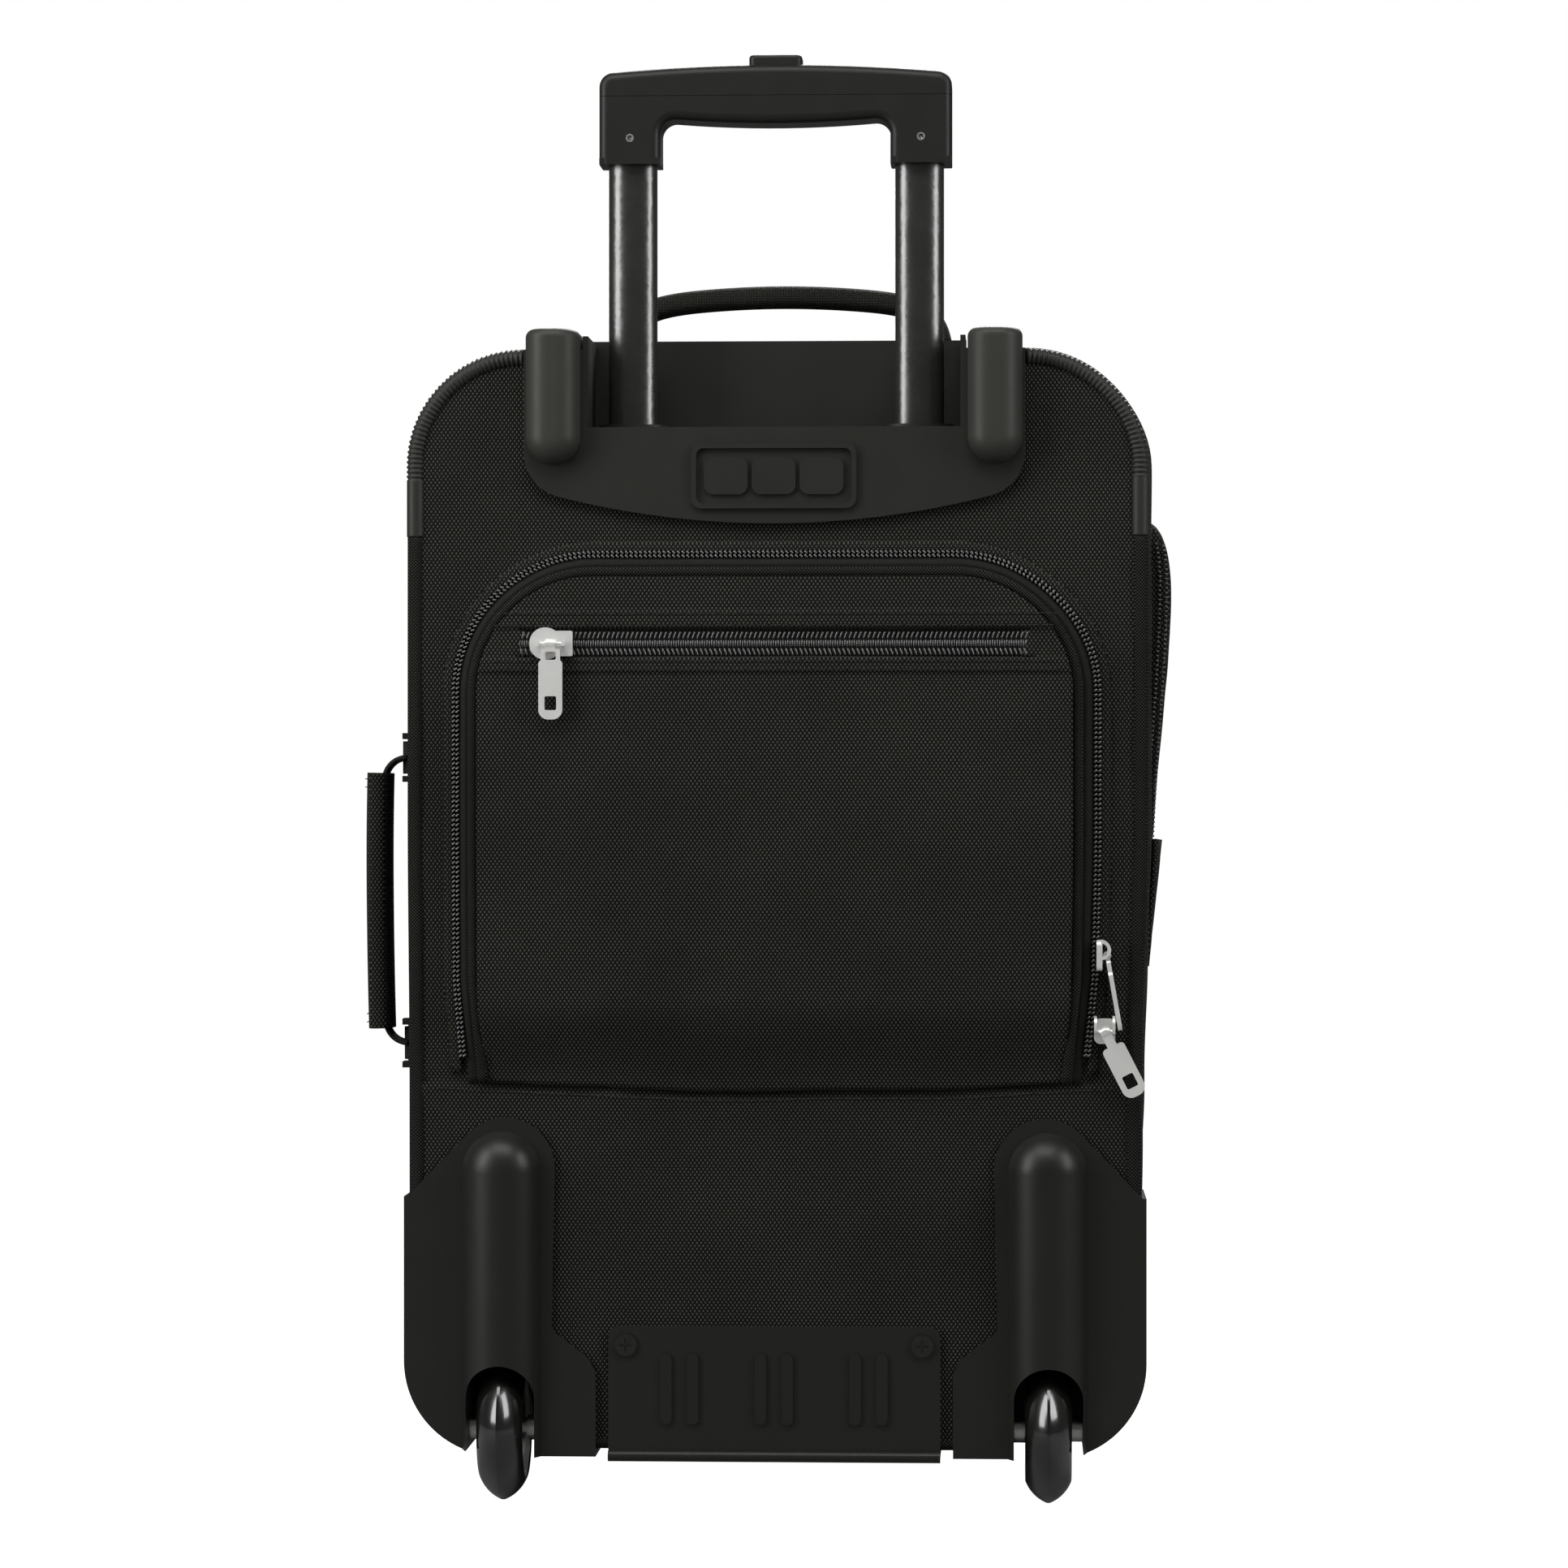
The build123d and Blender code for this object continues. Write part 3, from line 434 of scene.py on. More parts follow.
def in_3d(line, y):
    depth = np.broadcast_to(np.asarray(y, float), (len(line),))
    return np.stack([line[:, 0], depth, line[:, 1]], 1)


def directions(line, closed):
    t = tangents(line, closed)
    n = outward(line, closed)
    zero = np.zeros(len(line))
    return np.stack([t[:, 0], zero, t[:, 1]], 1), np.stack([n[:, 0], zero, n[:, 1]], 1)


def teeth_edge(name, line, y, side, **says):
    """One half of the coil zip that runs round the case's edge."""
    t, n = directions(line, True)
    kept = [k for k, (x, z) in enumerate(line) if x < 160 or not 60 < z < 510]
    line, t, n = line[kept], t[kept], n[kept]
    across = np.tile((0.0, float(side), 0.0), (len(line), 1))
    at = in_3d(line, y - side * 0.5) + n * 0.2
    return scatter(name, bead(*TOOTH), at, t, across, n, COIL, **says)


def stitches(name, line, y, closed, pitch=STITCH, up=(0.0, -1.0, 0.0), **says):
    """A row of thread stitches along a line."""
    line = even(line, pitch, closed)
    t, n = directions(line, closed)
    at = in_3d(line, y) - t * pitch * 0.36
    ups = np.tile(up, (len(line), 1))
    return scatter(name, bead(pitch * 0.72, *THREAD_SIZE), at, n, t, ups, THREAD, **says)


def slanted_teeth(name, line, out, length, y, **says):
    """The coil of a closed zip seen from its edge: short beads lying at a slant across a line."""
    t, n = directions(line, False)
    across = n * 0.8 + t * 0.6
    along = t * 0.8 - n * 0.6
    at = in_3d(line, y) + n * out - across * 0.2
    up = np.tile((0.0, -1.0, 0.0), (len(line), 1))
    return scatter(name, bead(length, 1.25, 1.5), at, along, across, up, COIL, slot="zipper_coil", **says)


def straight(x0, z0, x1, z1):
    return [(x0, z0), (x1, z1)]


def lumps(x, y, z, size, amount):
    return amount * noise.noise(Vector((x, y, z)) / size)


def held_in(x, z, inset):
    """The point itself, or the nearest one on the case's outline if it lies outside."""
    w = HALF_W - inset
    z0, z1 = CASE_Z[0] + inset, CASE_Z[1] - inset
    x = min(max(x, -w), w)
    z = min(max(z, z0), z1)
    for radius, end, sign in ((TOP_R - inset, z1, 1), (BOTTOM_R - inset, z0, -1)):
        cx, cz = math.copysign(w - radius, x), end - sign * radius
        dx, dz = x - cx, z - cz
        if dx * cx > 0 and dz * sign > 0:
            far = math.hypot(dx, dz)
            if far > radius:
                x, z = cx + dx * radius / far, cz + dz * radius / far
    return x, z


def face_sheet(name, inset, depth, step, keep, flip, material, **says):
    """A sheet across the case's outline, with its depth from a function and cells left out."""
    xs = np.arange(-HALF_W, HALF_W + step, step)
    zs = np.arange(CASE_Z[0], CASE_Z[1] + step, step)
    verts = []
    for z in zs:
        for x in xs:
            px, pz = held_in(x, z, inset)
            verts.append((px, depth(px, pz), pz))
    faces = []
    for i in range(len(zs) - 1):
        for j in range(len(xs) - 1):
            cx, cz = xs[j] + step / 2, zs[i] + step / 2
            hx, hz = held_in(cx, cz, inset)
            if math.hypot(hx - cx, hz - cz) > step * 0.7 or not keep(cx, cz):
                continue
            a = i * len(xs) + j
            quad = (a, a + 1, a + 1 + len(xs), a + len(xs))
            faces.append(quad[::-1] if flip else quad)
    return piece(name, verts, faces, material, **says)


def puff(obj, held, pressure, cap):
    """Swells a closed cloth shape with Blender's cloth, each point within cap of where it was."""
    rest = np.array([v.co for v in obj.data.vertices])
    group = obj.vertex_groups.new(name="held")
    group.add([int(i) for i in held], 1.0, "REPLACE")
    mod = obj.modifiers.new("cloth", "CLOTH")
    settings = mod.settings
    settings.quality = 6
    settings.use_pressure = True
    settings.uniform_pressure_force = pressure
    settings.vertex_group_mass = "held"
    settings.tension_stiffness = 30
    settings.compression_stiffness = 12
    settings.bending_stiffness = 4
    settings.effector_weights.gravity = 0
    mod.collision_settings.use_collision = False
    for step in range(1, 17):
        bpy.context.scene.frame_set(step)
    shown = obj.evaluated_get(bpy.context.evaluated_depsgraph_get()).to_mesh()
    moved = np.array([v.co for v in shown.vertices])
    obj.modifiers.remove(mod)
    shift = moved - rest
    size = np.linalg.norm(shift, axis=1)
    shift *= np.minimum(1.0, cap * MM / np.maximum(size, 1e-9))[:, None]
    obj.data.vertices.foreach_set("co", (rest + shift).ravel())
    obj.data.update()
    bpy.context.scene.frame_set(1)
    obj.vertex_groups.remove(group)


def soften(obj, levels=1):
    mod = obj.modifiers.new("subdivide", "SUBSURF")
    mod.levels = levels
    mod.render_levels = levels


# ---------------------------------------------------------------- case fabric

def seam_z(x):
    """The height of the seam across the back: it sags toward the middle."""
    return 195.8 + 4.4 * (x / 140.0) ** 2 + lumps(x, 3, 0, 60, 1.0)


def back_depth(x, z):
    """The back cloth: nearly flat, gathered a little at the lower seam and pulled in at its edge."""
    seam = seam_z(x)
    y = BACK_Y - 0.3 + lumps(x, 0, z, 42, 0.55) + lumps(x, 9, z, 14, 0.2)
    near = z - seam
    y += 1.1 * math.exp(-(near / 1.6) ** 2)
    if near < 0:
        y -= 1.5 * math.exp(near / 7) * (1 - math.exp(near / 1.5))
        y += lumps(x, 20, z, 9, 0.5) * math.exp(near / 12)
    return y


def back_keep(x, z):
    """False over the recess of the pull handle and over the wheel wells."""
    recess = abs(x) < 93 and z > 505
    well = 108 < abs(x) < 152 and z < 79
    return not (recess or well)


def make_back():
    skin = face_sheet("back_skin", 5.5, back_depth, 3.0, back_keep, False, BALLISTIC, body="case",
                      slot="shell_fabric", replaces=["back_panel"])
    thicken(skin, 2.2, LINING)
    line = [(x, seam_z(x) - 3.0) for x in np.linspace(-160, 160, 60)]
    depth = [back_depth(x, z) - 0.25 for x, z in even(line, STITCH, False)]
    stitches("back_seam_stitches", np.array(line), depth, False, body="case", slot="shell_fabric")


def tub_section(y0, y1, rows, swell):
    return [(swell * math.sin(math.pi * k / (rows - 1)) ** 0.7, y0 + (y1 - y0) * k / (rows - 1))
            for k in range(rows)]


def make_tub():
    """The cloth wall round the case, drawn in where the housings and the skid plate wrap round it."""
    def wobble(x, y, z, out, normal):
        push = lumps(x, y, z, 38, 0.7) * min(1.0, abs(out) + 0.15)
        push -= 1.5 * (1 - float(smooth_step(y, -91.5, -74)))
        under = max(0.0, -normal[1]) * (1 - float(smooth_step(y, 0, 25)))
        plated = float((1 - smooth_step(z, 150, 200)) * (1 - smooth_step(y, -50, -25)))
        push -= (SLACK + 0.6) * max(under, plated)
        return x + normal[0] * push, y, z + normal[1] * push

    line = outline(-SLACK, 4.0)
    section = tub_section(-91.5, 29.0, 34, 0.9)
    verts, _ = moulding(line, section, True, wobble)
    rows, columns = len(line), len(section)
    faces = []
    for quad in grid_faces(rows, columns, True):
        x, y, z = np.mean([verts[i] for i in quad], axis=0)
        recess = abs(x) < 92 and z > 500 and y < -46
        well = 110 < abs(x) < 151 and z < 79 and y < -37
        if not recess and not well:
            faces.append(quad[::-1])
    skin = piece("tub_skin", verts, faces, BALLISTIC, body="case", slot="shell_fabric",
                 replaces=["tub_gusset"])
    thicken(skin, 2.6, LINING)
    for index, (y, proud) in enumerate(((-84.0, SLACK - 0.65), (24.0, SLACK + 0.15))):
        at = outline(-proud, STITCH)
        t, n = directions(at, True)
        kept = [k for k, (x, z) in enumerate(at) if y > 0 or z > 190 and (abs(x) > 97 or z < 500)]
        t, n = t[kept], n[kept]
        scatter(f"tub_stitches_{index}", bead(2.3, *THREAD_SIZE), in_3d(at[kept], y) - t * 1.1,
                np.cross(t, n), t, n, THREAD, body="case", slot="shell_fabric")


def make_rear_piping():
    """The rubber guards, ribbed round the corners and smooth below, and the fabric piping under them."""
    inset = 4.0
    w, top, r = HALF_W - inset, CASE_Z[1] - inset, TOP_R - inset
    step = RIB_PITCH / 4
    for side, sign in (("right", 1), ("left", -1)):
        line = [(w, GUARD_FOOT)] + corner_arc(w - r, top - r, r, 0) + [(119.8, top)]
        line = even([(sign * x, z) for x, z in line][::sign], step, False)
        ribbed = line[:, 1] > RIBS_FROM
        ribs = np.where(ribbed, np.sin(2 * math.pi * np.arange(len(line)) * step / RIB_PITCH), 0.0)
        radius = np.where(ribbed, 4.15 + 0.45 * np.clip(ribs * 1.6, -1, 1), 4.35)
        tube(f"corner_guard_{side}", line, radius, PIPING_Y, False, GUARD, body="case", slot="bumper_rubber",
             replaces=["corner_guards"])
        low = even([(sign * w, PIPING_FOOT), (sign * w, GUARD_FOOT)][::sign], 3.0, False)
        tube(f"rear_piping_{side}", low, 4.0, PIPING_Y, False, FINE, body="case", slot="piping_fabric",
             replaces=["rear_piping"])
    foot = even([(-108, CASE_Z[0] + 4.4), (108, CASE_Z[0] + 4.4)], 4.0, False)
    tube("rear_piping_low", foot, 3.2, -94.6, False, FINE, body="case", slot="piping_fabric")


def make_main_zip():
    for part, body, side, y0, y1 in (("tub", "case", -1, 28.6, 34.9), ("lid", "lid", 1, 35.1, 41.4)):
        node = f"main_zipper_{part}_half"
        line = outline(0.0, 3.0)
        verts, faces = moulding(line, [(0.1, y0), (0.35, y0 + 0.4), (0.35, y1 - 0.4), (0.1, y1)], True)
        tape = piece(f"main_tape_{part}", verts, faces, TAPE, body=body, slot="zipper_coil", replaces=[node])
        thicken(tape, 0.9)
        dense = outline(0.0, PITCH)
        if side > 0:
            dense = (dense + np.roll(dense, -1, 0)) / 2
        teeth_edge(f"main_teeth_{part}", dense, SPLIT_Y, side, body=body, slot="zipper_coil")


def make_lid():
    """The lid's cloth wall, its face and the cord round its edge."""
    def wobble(x, y, z, out, normal):
        push = lumps(x, y, z, 36, 0.6) * min(1.0, abs(out) + 0.1)
        return x + normal[0] * push, y, z + normal[1] * push

    section = tub_section(41.2, 76, 12, 0.8) + [(-0.6, 78.4), (-2.2, 80.2), (-4.5, 81.0), (-8.5, 81.2)]
    verts, faces = moulding(outline(-SLACK, 4.0), section, True, wobble)
    rim = piece("lid_rim", verts, [f[::-1] for f in faces], BALLISTIC, body="lid", slot="shell_fabric",
                replaces=["lid_panel"])
    thicken(rim, 2.4, LINING)
    face = face_sheet("lid_face", 7.0, lambda x, z: LID_Y - 0.2 + lumps(x, 50, z, 45, 0.7), 5.0,
                      lambda x, z: True, True, BALLISTIC, body="lid", slot="shell_fabric")
    thicken(face, 2.2, LINING)
    tube("lid_cord", outline(8.5, 3.0), 3.0, 83.9, True, FINE, body="lid", slot="piping_fabric",
         replaces=["lid_piping"])


def make_hinge_cloth():
    """The strip of fabric down the right side that lets the lid swing."""
    verts = []
    for z in np.linspace(82, 484, 60):
        for k in range(13):
            y = 27.5 + 15.0 * k / 12
            verts.append((HALF_W + 1.9 + 0.35 * math.sin(math.pi * k / 12), y, z))
    strip = piece("hinge_cloth", verts, grid_faces(60, 13), FINE, slot="shell_fabric")
    thicken(strip, 0.7)
    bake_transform(strip)


# ---------------------------------------------------------------- back flap

def stand_off(z):
    """How far the flap stands from the back at a height: it closes down to the seam at its foot."""
    return 0.12 + 0.88 * float(smooth_step(z, HINGE_Z - 1, HINGE_Z + 42))


def flap_wobble(x, y, z, out, normal):
    proud = (FLAP_BASE - y) * stand_off(z)
    soft = lumps(x, y, z, 26, 0.35)
    return x + soft * 0.5, FLAP_BASE - proud, z + soft * 0.5


def blend_flap(obj):
    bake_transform(obj)


def flap_half(z):
    """Half the panel's width at a height, inside its piping."""
    edge, top, radius = FLAP_X - 11.0, FLAP_TOP - 11.0, FLAP_R - 11.0
    edge -= 3.5 * float(smooth_step(-z, -245, -HINGE_Z))
    if z <= top - radius:
        return edge
    rise = min(z - (top - radius), radius - 0.01)
    return edge - radius + math.sqrt(radius * radius - rise * rise)


def pocket_shape(x, z):
    """How far the cloth sinks at the pocket's zip, and stands out at the welts beside it."""
    inside = smooth_step(121.5 - abs(x), 0.0, 1.6)
    up = z - POCKET_Z
    dip = smooth_step(up, -6.8, -5.6) * smooth_step(-up, -7.4, -6.2)
    welt_up = smooth_step(up, 6.4, 7.4) * smooth_step(-up, -16.2, -15.0)
    welt_low = smooth_step(-up, 6.4, 7.4) * smooth_step(up, -14.0, -13.0)
    return float(2.6 * dip * inside - 0.9 * (welt_up + welt_low))


def panel_depth(x, z):
    half = flap_half(z)
    edge = (abs(x) / half) ** 2 if half > 1 else 1.0
    foot = stand_off(z)
    crown = 1.6 * (1 - edge) * math.sin(math.pi * min(1.0, (z - HINGE_Z) / 240)) ** 0.6
    wrinkle = lumps(x, 0, z, 34, 0.9) + lumps(x, 7, z, 12, 0.22)
    pull = lumps(x, 0, z * 0.35, 9, 0.5) * math.exp(-(z - HINGE_Z) / 16)
    proud = (FLAP_Y - FLAP_BASE) * foot - crown + wrinkle * foot + pull + pocket_shape(x, z)
    return FLAP_BASE + proud


def make_flap_panel():
    top = FLAP_TOP - 11.2
    zs = np.concatenate([np.arange(HINGE_Z, 250, 2.2), np.arange(250, 388, 3.4), np.arange(388, 430, 0.75)])
    zs = np.concatenate([zs, [430 + (top - 430) * math.sin(a) for a in np.linspace(0, math.pi / 2, 9)]])
    ts = np.concatenate([np.linspace(-1, -0.84, 14), np.linspace(-0.83, 0.83, 84), np.linspace(0.84, 1, 14)])
    verts = []
    for z in zs:
        half = flap_half(z)
        for t in ts:
            x = half * t
            low = (seam_z(x) + 1.2 - HINGE_Z) * (1 - float(smooth_step(z, HINGE_Z, HINGE_Z + 30)))
            verts.append((x, panel_depth(x, z), z + low))
    panel = piece("flap_panel", verts, grid_faces(len(zs), len(ts), False, True), BALLISTIC,
                  slot="shell_fabric", replaces=["arch_flap"])
    thicken(panel, 1.6, LINING)
    blend_flap(panel)


def make_flap_edge():
    """The flap's rim from the outside in: coil, satin tape on a roll, corded piping, gusset."""
    line = arch(HINGE_Z + 1, 3.0)
    roll = [(-1.9, -98.6), (-2.3, -100.2), (-3.4, -101.8), (-4.9, -102.6), (-6.2, -102.5), (-7.0, -101.8)]
    verts, faces = moulding(line, roll, False, flap_wobble)
    tape = piece("flap_tape", verts, faces, TAPE, slot="zipper_coil", replaces=["arch_zipper_inner_half"])
    thicken(tape, 0.8)
    blend_flap(tape)
    wall = [(-10.2, -105.6), (-11.0, -107.2), (-11.6, -108.4), (-13.5, -109.6)]
    verts, faces = moulding(line, wall, False, flap_wobble)
    gusset = piece("flap_gusset", verts, faces, BALLISTIC, slot="shell_fabric")
    thicken(gusset, 1.2)
    blend_flap(gusset)
    core = line + outward(line, False) * -9.0
    depth = [FLAP_BASE - (FLAP_BASE + 105.3) * stand_off(z) for z in core[:, 1]]
    cord = tube("flap_piping", core, 2.7, depth, False, FINE, slot="piping_fabric")
    blend_flap(cord)
    zip_line = arch(214, PITCH)
    slanted_teeth("arch_teeth_outer", zip_line, 0.0, 1.9, -99.6, body="case")
    slanted_teeth("arch_teeth_inner", zip_line, -1.8, 1.9, -99.8, body="flap")
    edge = [(0.6, -98.6), (2.0, -98.8), (4.4, -98.4), (5.6, -97.4)]
    verts, faces = moulding(arch(206, 3.0), edge, False)
    band = piece("arch_band_outer", verts, faces, BALLISTIC, body="case", slot="shell_fabric",
                 replaces=["arch_zipper_outer_half"])
    thicken(band, 0.6)
    row = arch(206, STITCH)
    row = row + outward(row, False) * 2.1
    stitches("arch_band_stitches", row, -98.8, False, 2.4, body="case", slot="shell_fabric")


def make_pocket_zip():
    y = FLAP_Y + 1.1
    line = np.array([(x, POCKET_Z) for x in np.arange(-119.5, 119.6, PITCH)])
    verts = []
    for x in np.linspace(-121, 121, 90):
        for z in (-6.6, -5.2, -2.6, 0, 2.6, 5.2, 6.6):
            verts.append((x, y + (0.5 if abs(z) > 6 else 0.0), POCKET_Z + z))
    tape = piece("pocket_tape", verts, grid_faces(90, 7), TAPE, body="flap", slot="zipper_coil",
                 replaces=["pocket_zipper"])
    thicken(tape, 0.5, None, 1.0)
    for part, side in (("upper", 1), ("lower", -1)):
        count = len(line)
        at = in_3d(line + (0.35 * side, 2.3 * side), y - 0.1)
        lean = np.array((0.34, 0.0, 0.94 * side))
        loops = scatter(f"pocket_loops_{part}", bead(3.5, 1.0, 1.4), at, [np.cross(lean, (0, -1, 0))] * count,
                        [lean] * count, [(0, -1, 0)] * count, COIL, body="flap", slot="zipper_coil")
        teeth = in_3d(line + (0.55 * side, -1.4 * side), y)
        scatter(f"pocket_teeth_{part}", bead(3.1, 0.8, 1.5), teeth, [(1, 0, 0)] * count,
                [(0, 0, side)] * count, [(0, -1, 0)] * count, COIL, body="flap", slot="zipper_coil")
    for index, (z, reach) in enumerate(((POCKET_Z + 14.2, 133), (POCKET_Z + 8.6, 131), (POCKET_Z - 8.2, 131),
                                        (POCKET_Z - 12.4, 133))):
        row = even(straight(-reach, z, reach, z), STITCH, False)
        depth = [panel_depth(a, b) - 0.2 for a, b in row]
        stitches(f"welt_stitches_{index}", row, depth, False, body="flap", slot="shell_fabric")
    for side, sign in (("left", -1), ("right", 1)):
        tab = []
        x0 = sign * POCKET_END
        for x in np.linspace(0, 9, 7):
            for z in np.linspace(-6.4, 6.4, 9):
                swell = 0.9 * math.sin(math.pi * (x + 0.8) / 10.6) ** 0.5
                tab.append((x0 + sign * x, y - 0.4 - swell, POCKET_Z + z))
        end = piece(f"pocket_tab_{side}", tab, grid_faces(7, 9, False, sign < 0), BALLISTIC, body="flap",
                    slot="shell_fabric")
        thicken(end, 0.8)


# ---------------------------------------------------------------- pockets and handles

def sewn_pocket(name, node, body, x0, x1, z0, z1, radius, y0, y1, lean, cap):
    """A pocket on the front: gathered sides and a crowned face; its zip near the top is made apart by
    front_zip.
    """
    base = rounded_box(x0, x1, z0, z1, radius, radius, 5.0)
    centre = np.array([(x0 + x1) / 2, (z0 + z1) / 2])
    half = np.array([(x1 - x0) / 2, (z1 - z0) / 2])
    rings = [(0.0, 0.0), (0.0, 0.25), (0.3, 0.6), (0.75, 0.9), (1.0, 1.0)]
    verts = []
    for shift, rise in rings:
        for x, z in centre + (base - centre) * (half - lean * shift) / half:
            verts.append((x, y0 + (y1 - y0) * rise, z))
    inner = (half - lean) / half
    steps = 16
    for k in range(1, steps):
        for x, z in centre + (base - centre) * inner * (1 - k / steps):
            verts.append((x, y1, z))
    rows = len(rings) + steps - 1
    count = len(base)
    faces = []
    for i in range(rows - 1):
        for j in range(count):
            m = (j + 1) % count
            faces.append((i * count + j, i * count + m, (i + 1) * count + m, (i + 1) * count + j))
    verts.append((centre[0], y1, centre[1]))
    last = (rows - 1) * count
    faces += [(last + j, last + (j + 1) % count, len(verts) - 1) for j in range(count)]
    obj = piece(name, verts, faces, BALLISTIC, body=body, slot="shell_fabric", replaces=[node])
    puff(obj, range(count), 1.2, cap)
    co = np.array([v.co for v in obj.data.vertices])
    for p in co[count:]:
        x, y, z = p / MM
        p[1] += lumps(x, y, z, 30, 0.9) * MM
    obj.data.vertices.foreach_set("co", co.ravel())
    obj.data.update()
    soften(obj)
    return obj


def surface_y(obj, points):
    """The depth of a pocket's face at each X and Z."""
    tree = BVHTree.FromPolygons([v.co for v in obj.data.vertices], [p.vertices for p in obj.data.polygons])
    found = []
    for x, z in points:
        hit = tree.ray_cast(Vector((x * MM, 0.2, z * MM)), Vector((0, -1, 0)))[0]
        found.append(hit.y / MM)
    return np.array(found)


def front_zip(name, pocket, z, reach):
    line = np.array([(x, z) for x in np.arange(-reach, reach, PITCH)])
    depth = surface_y(pocket, line)
    t = np.tile((1.0, 0.0, 0.0), (len(line), 1))
    up = np.tile((0.0, 1.0, 0.0), (len(line), 1))
    for part, side, shift in (("upper", 1, 0.0), ("lower", -1, PITCH / 2)):
        across = np.tile((0.0, 0.0, float(side)), (len(line), 1))
        at = in_3d(line + (shift, -0.5 * side), depth - 0.7)
        scatter(f"{name}_teeth_{part}", bead(*TOOTH), at, t, across, up, COIL, body="lid",
                slot="zipper_coil")
    verts = []
    for (x, _), y in zip(line, depth):
        for dz in (-6.5, -4, 0, 4, 6.5):
            verts.append((x, y + 0.15, z + dz))
    piece(f"{name}_tape", verts, grid_faces(len(line), 5), TAPE, body="lid", slot="zipper_coil")
    for part, dz in (("above", 9.0), ("below", -9.0)):
        row = even(straight(-reach, z + dz, reach, z + dz), STITCH, False)
        stitches(f"{name}_stitches_{part}", row, surface_y(pocket, row) + 0.1, False, up=(0.0, 1.0, 0.0),
                 body="lid", slot="shell_fabric")


def make_front():
    upper = sewn_pocket("front_pocket_upper_skin", "front_pocket_upper", "lid", -150, 150, 338, 528, 34,
                        81.2, 103.4, 11, 2.4)
    front_zip("front_upper", upper, 492, 128)
    lower = sewn_pocket("front_pocket_lower_skin", "front_pocket_lower", "lid", -156, 156, 46, 326, 34,
                        81.2, 110.2, 13, 2.6)
    front_zip("front_lower", lower, 286, 132)


def make_side_pocket():
    """The slim pocket on the right wall: a wedge that is fullest near its top, zipped along its edge."""
    y0, y1, z0, z1 = -62, 14, 313, 470
    base = rounded_box(y0, y1, z0, z1, 14, 14, 4.0)
    centre = np.array([(y0 + y1) / 2, (z0 + z1) / 2])
    x0 = HALF_W + 0.2

    def fullness(z):
        rise = 2.8 + 8.6 * float(smooth_step(z, 300, 442))
        return rise * math.sqrt(max(0.05, 1 - (max(0.0, z - 440) / 31.0) ** 2))

    verts = []
    levels = [(1.0, 0.0), (1.0, 0.35), (0.985, 0.75), (0.95, 1.0), (0.85, 1.03), (0.65, 1.06), (0.45, 1.08),
              (0.25, 1.09), (0.1, 1.09)]
    for scale, rise in levels:
        for p in base:
            q = centre + (p - centre) * scale
            x = x0 + fullness(q[1]) * rise + lumps(rise * 30, q[0], q[1], 22, 0.5) * min(1.0, rise * 3)
            verts.append((x, q[0], q[1]))
    count = len(base)
    faces = []
    for i in range(len(levels) - 1):
        for j in range(count):
            m = (j + 1) % count
            faces.append((i * count + j, i * count + m, (i + 1) * count + m, (i + 1) * count + j))
    last = (len(levels) - 1) * count
    faces.append(tuple(last + j for j in range(count)))
    skin = piece("side_pocket_skin", verts, faces, BALLISTIC, body="case", slot="shell_fabric",
                 replaces=["side_pocket"])
    soften(skin)
    zs = np.arange(318, 458, PITCH)
    for part, side, shift in (("outer", 1, 0.0), ("inner", -1, PITCH / 2)):
        at = [(x0 + max(0.9, fullness(z) * 0.8 - 1.6) + 0.75 * side, y0 - 0.2, z) for z in zs + shift]
        count = len(at)
        scatter(f"side_pocket_teeth_{part}", bead(1.7, 1.1, 1.2), at, [(0, 0, 1)] * count,
                [(side, 0, 0)] * count, [(0, -1, 0)] * count, COIL, body="case", slot="zipper_coil")
    verts = []
    for z in np.linspace(255, 316, 16):
        for y in np.linspace(-52, 4, 16):
            swell = 1.6 + 4.6 * (z - 255) / 61.0
            edge = math.sin(math.pi * (y + 53) / 58) ** 0.25
            verts.append((x0 + swell * edge + lumps(0, y, z, 15, 0.4), y, z))
    tab = piece("side_pocket_tab", verts, grid_faces(16, 16), BALLISTIC, body="case", slot="shell_fabric")
    thicken(tab, 2.0)


def strap(name, points, width, height, material, place, **says):
    """A strap along a smooth line drawn flat; place puts each point (along, across, out) on the case."""
    curve = bpy.data.curves.new(name + "_line", "CURVE")
    curve.dimensions = "3D"
    spline = curve.splines.new("NURBS")
    spline.points.add(len(points) - 1)
    for target, (x, z) in zip(spline.points, points):
        target.co = (x, 0, z, 1)
    spline.order_u = 4
    spline.use_endpoint_u = True
    spline.resolution_u = 12
    holder = bpy.data.objects.new(name + "_line", curve)
    line = np.array([v.co for v in bpy.data.meshes.new_from_object(holder).vertices])[:, [0, 2]]
    bpy.data.objects.remove(holder)
    line = even(line, 1.2, False)[::-1]
    n = outward(line, False)
    sides = 28
    verts = []
    for p, m in zip(line, n):
        for a in np.linspace(0, 2 * math.pi, sides, endpoint=False):
            c, s = math.cos(a), math.sin(a)
            w = width / 2 * math.copysign(abs(s) ** 0.7, s)
            h = height / 2 * math.copysign(abs(c) ** 0.7, c)
            verts.append(place(p[0] + m[0] * h, w, p[1] + m[1] * h))
    faces = []
    for i in range(len(line) - 1):
        for j in range(sides):
            m = (j + 1) % sides
            faces.append((i * sides + j, i * sides + m, (i + 1) * sides + m, (i + 1) * sides + j))
    faces.append(tuple(range(sides))[::-1])
    faces.append(tuple((len(line) - 1) * sides + j for j in range(sides)))
    return piece(name, verts, faces, material, **says)


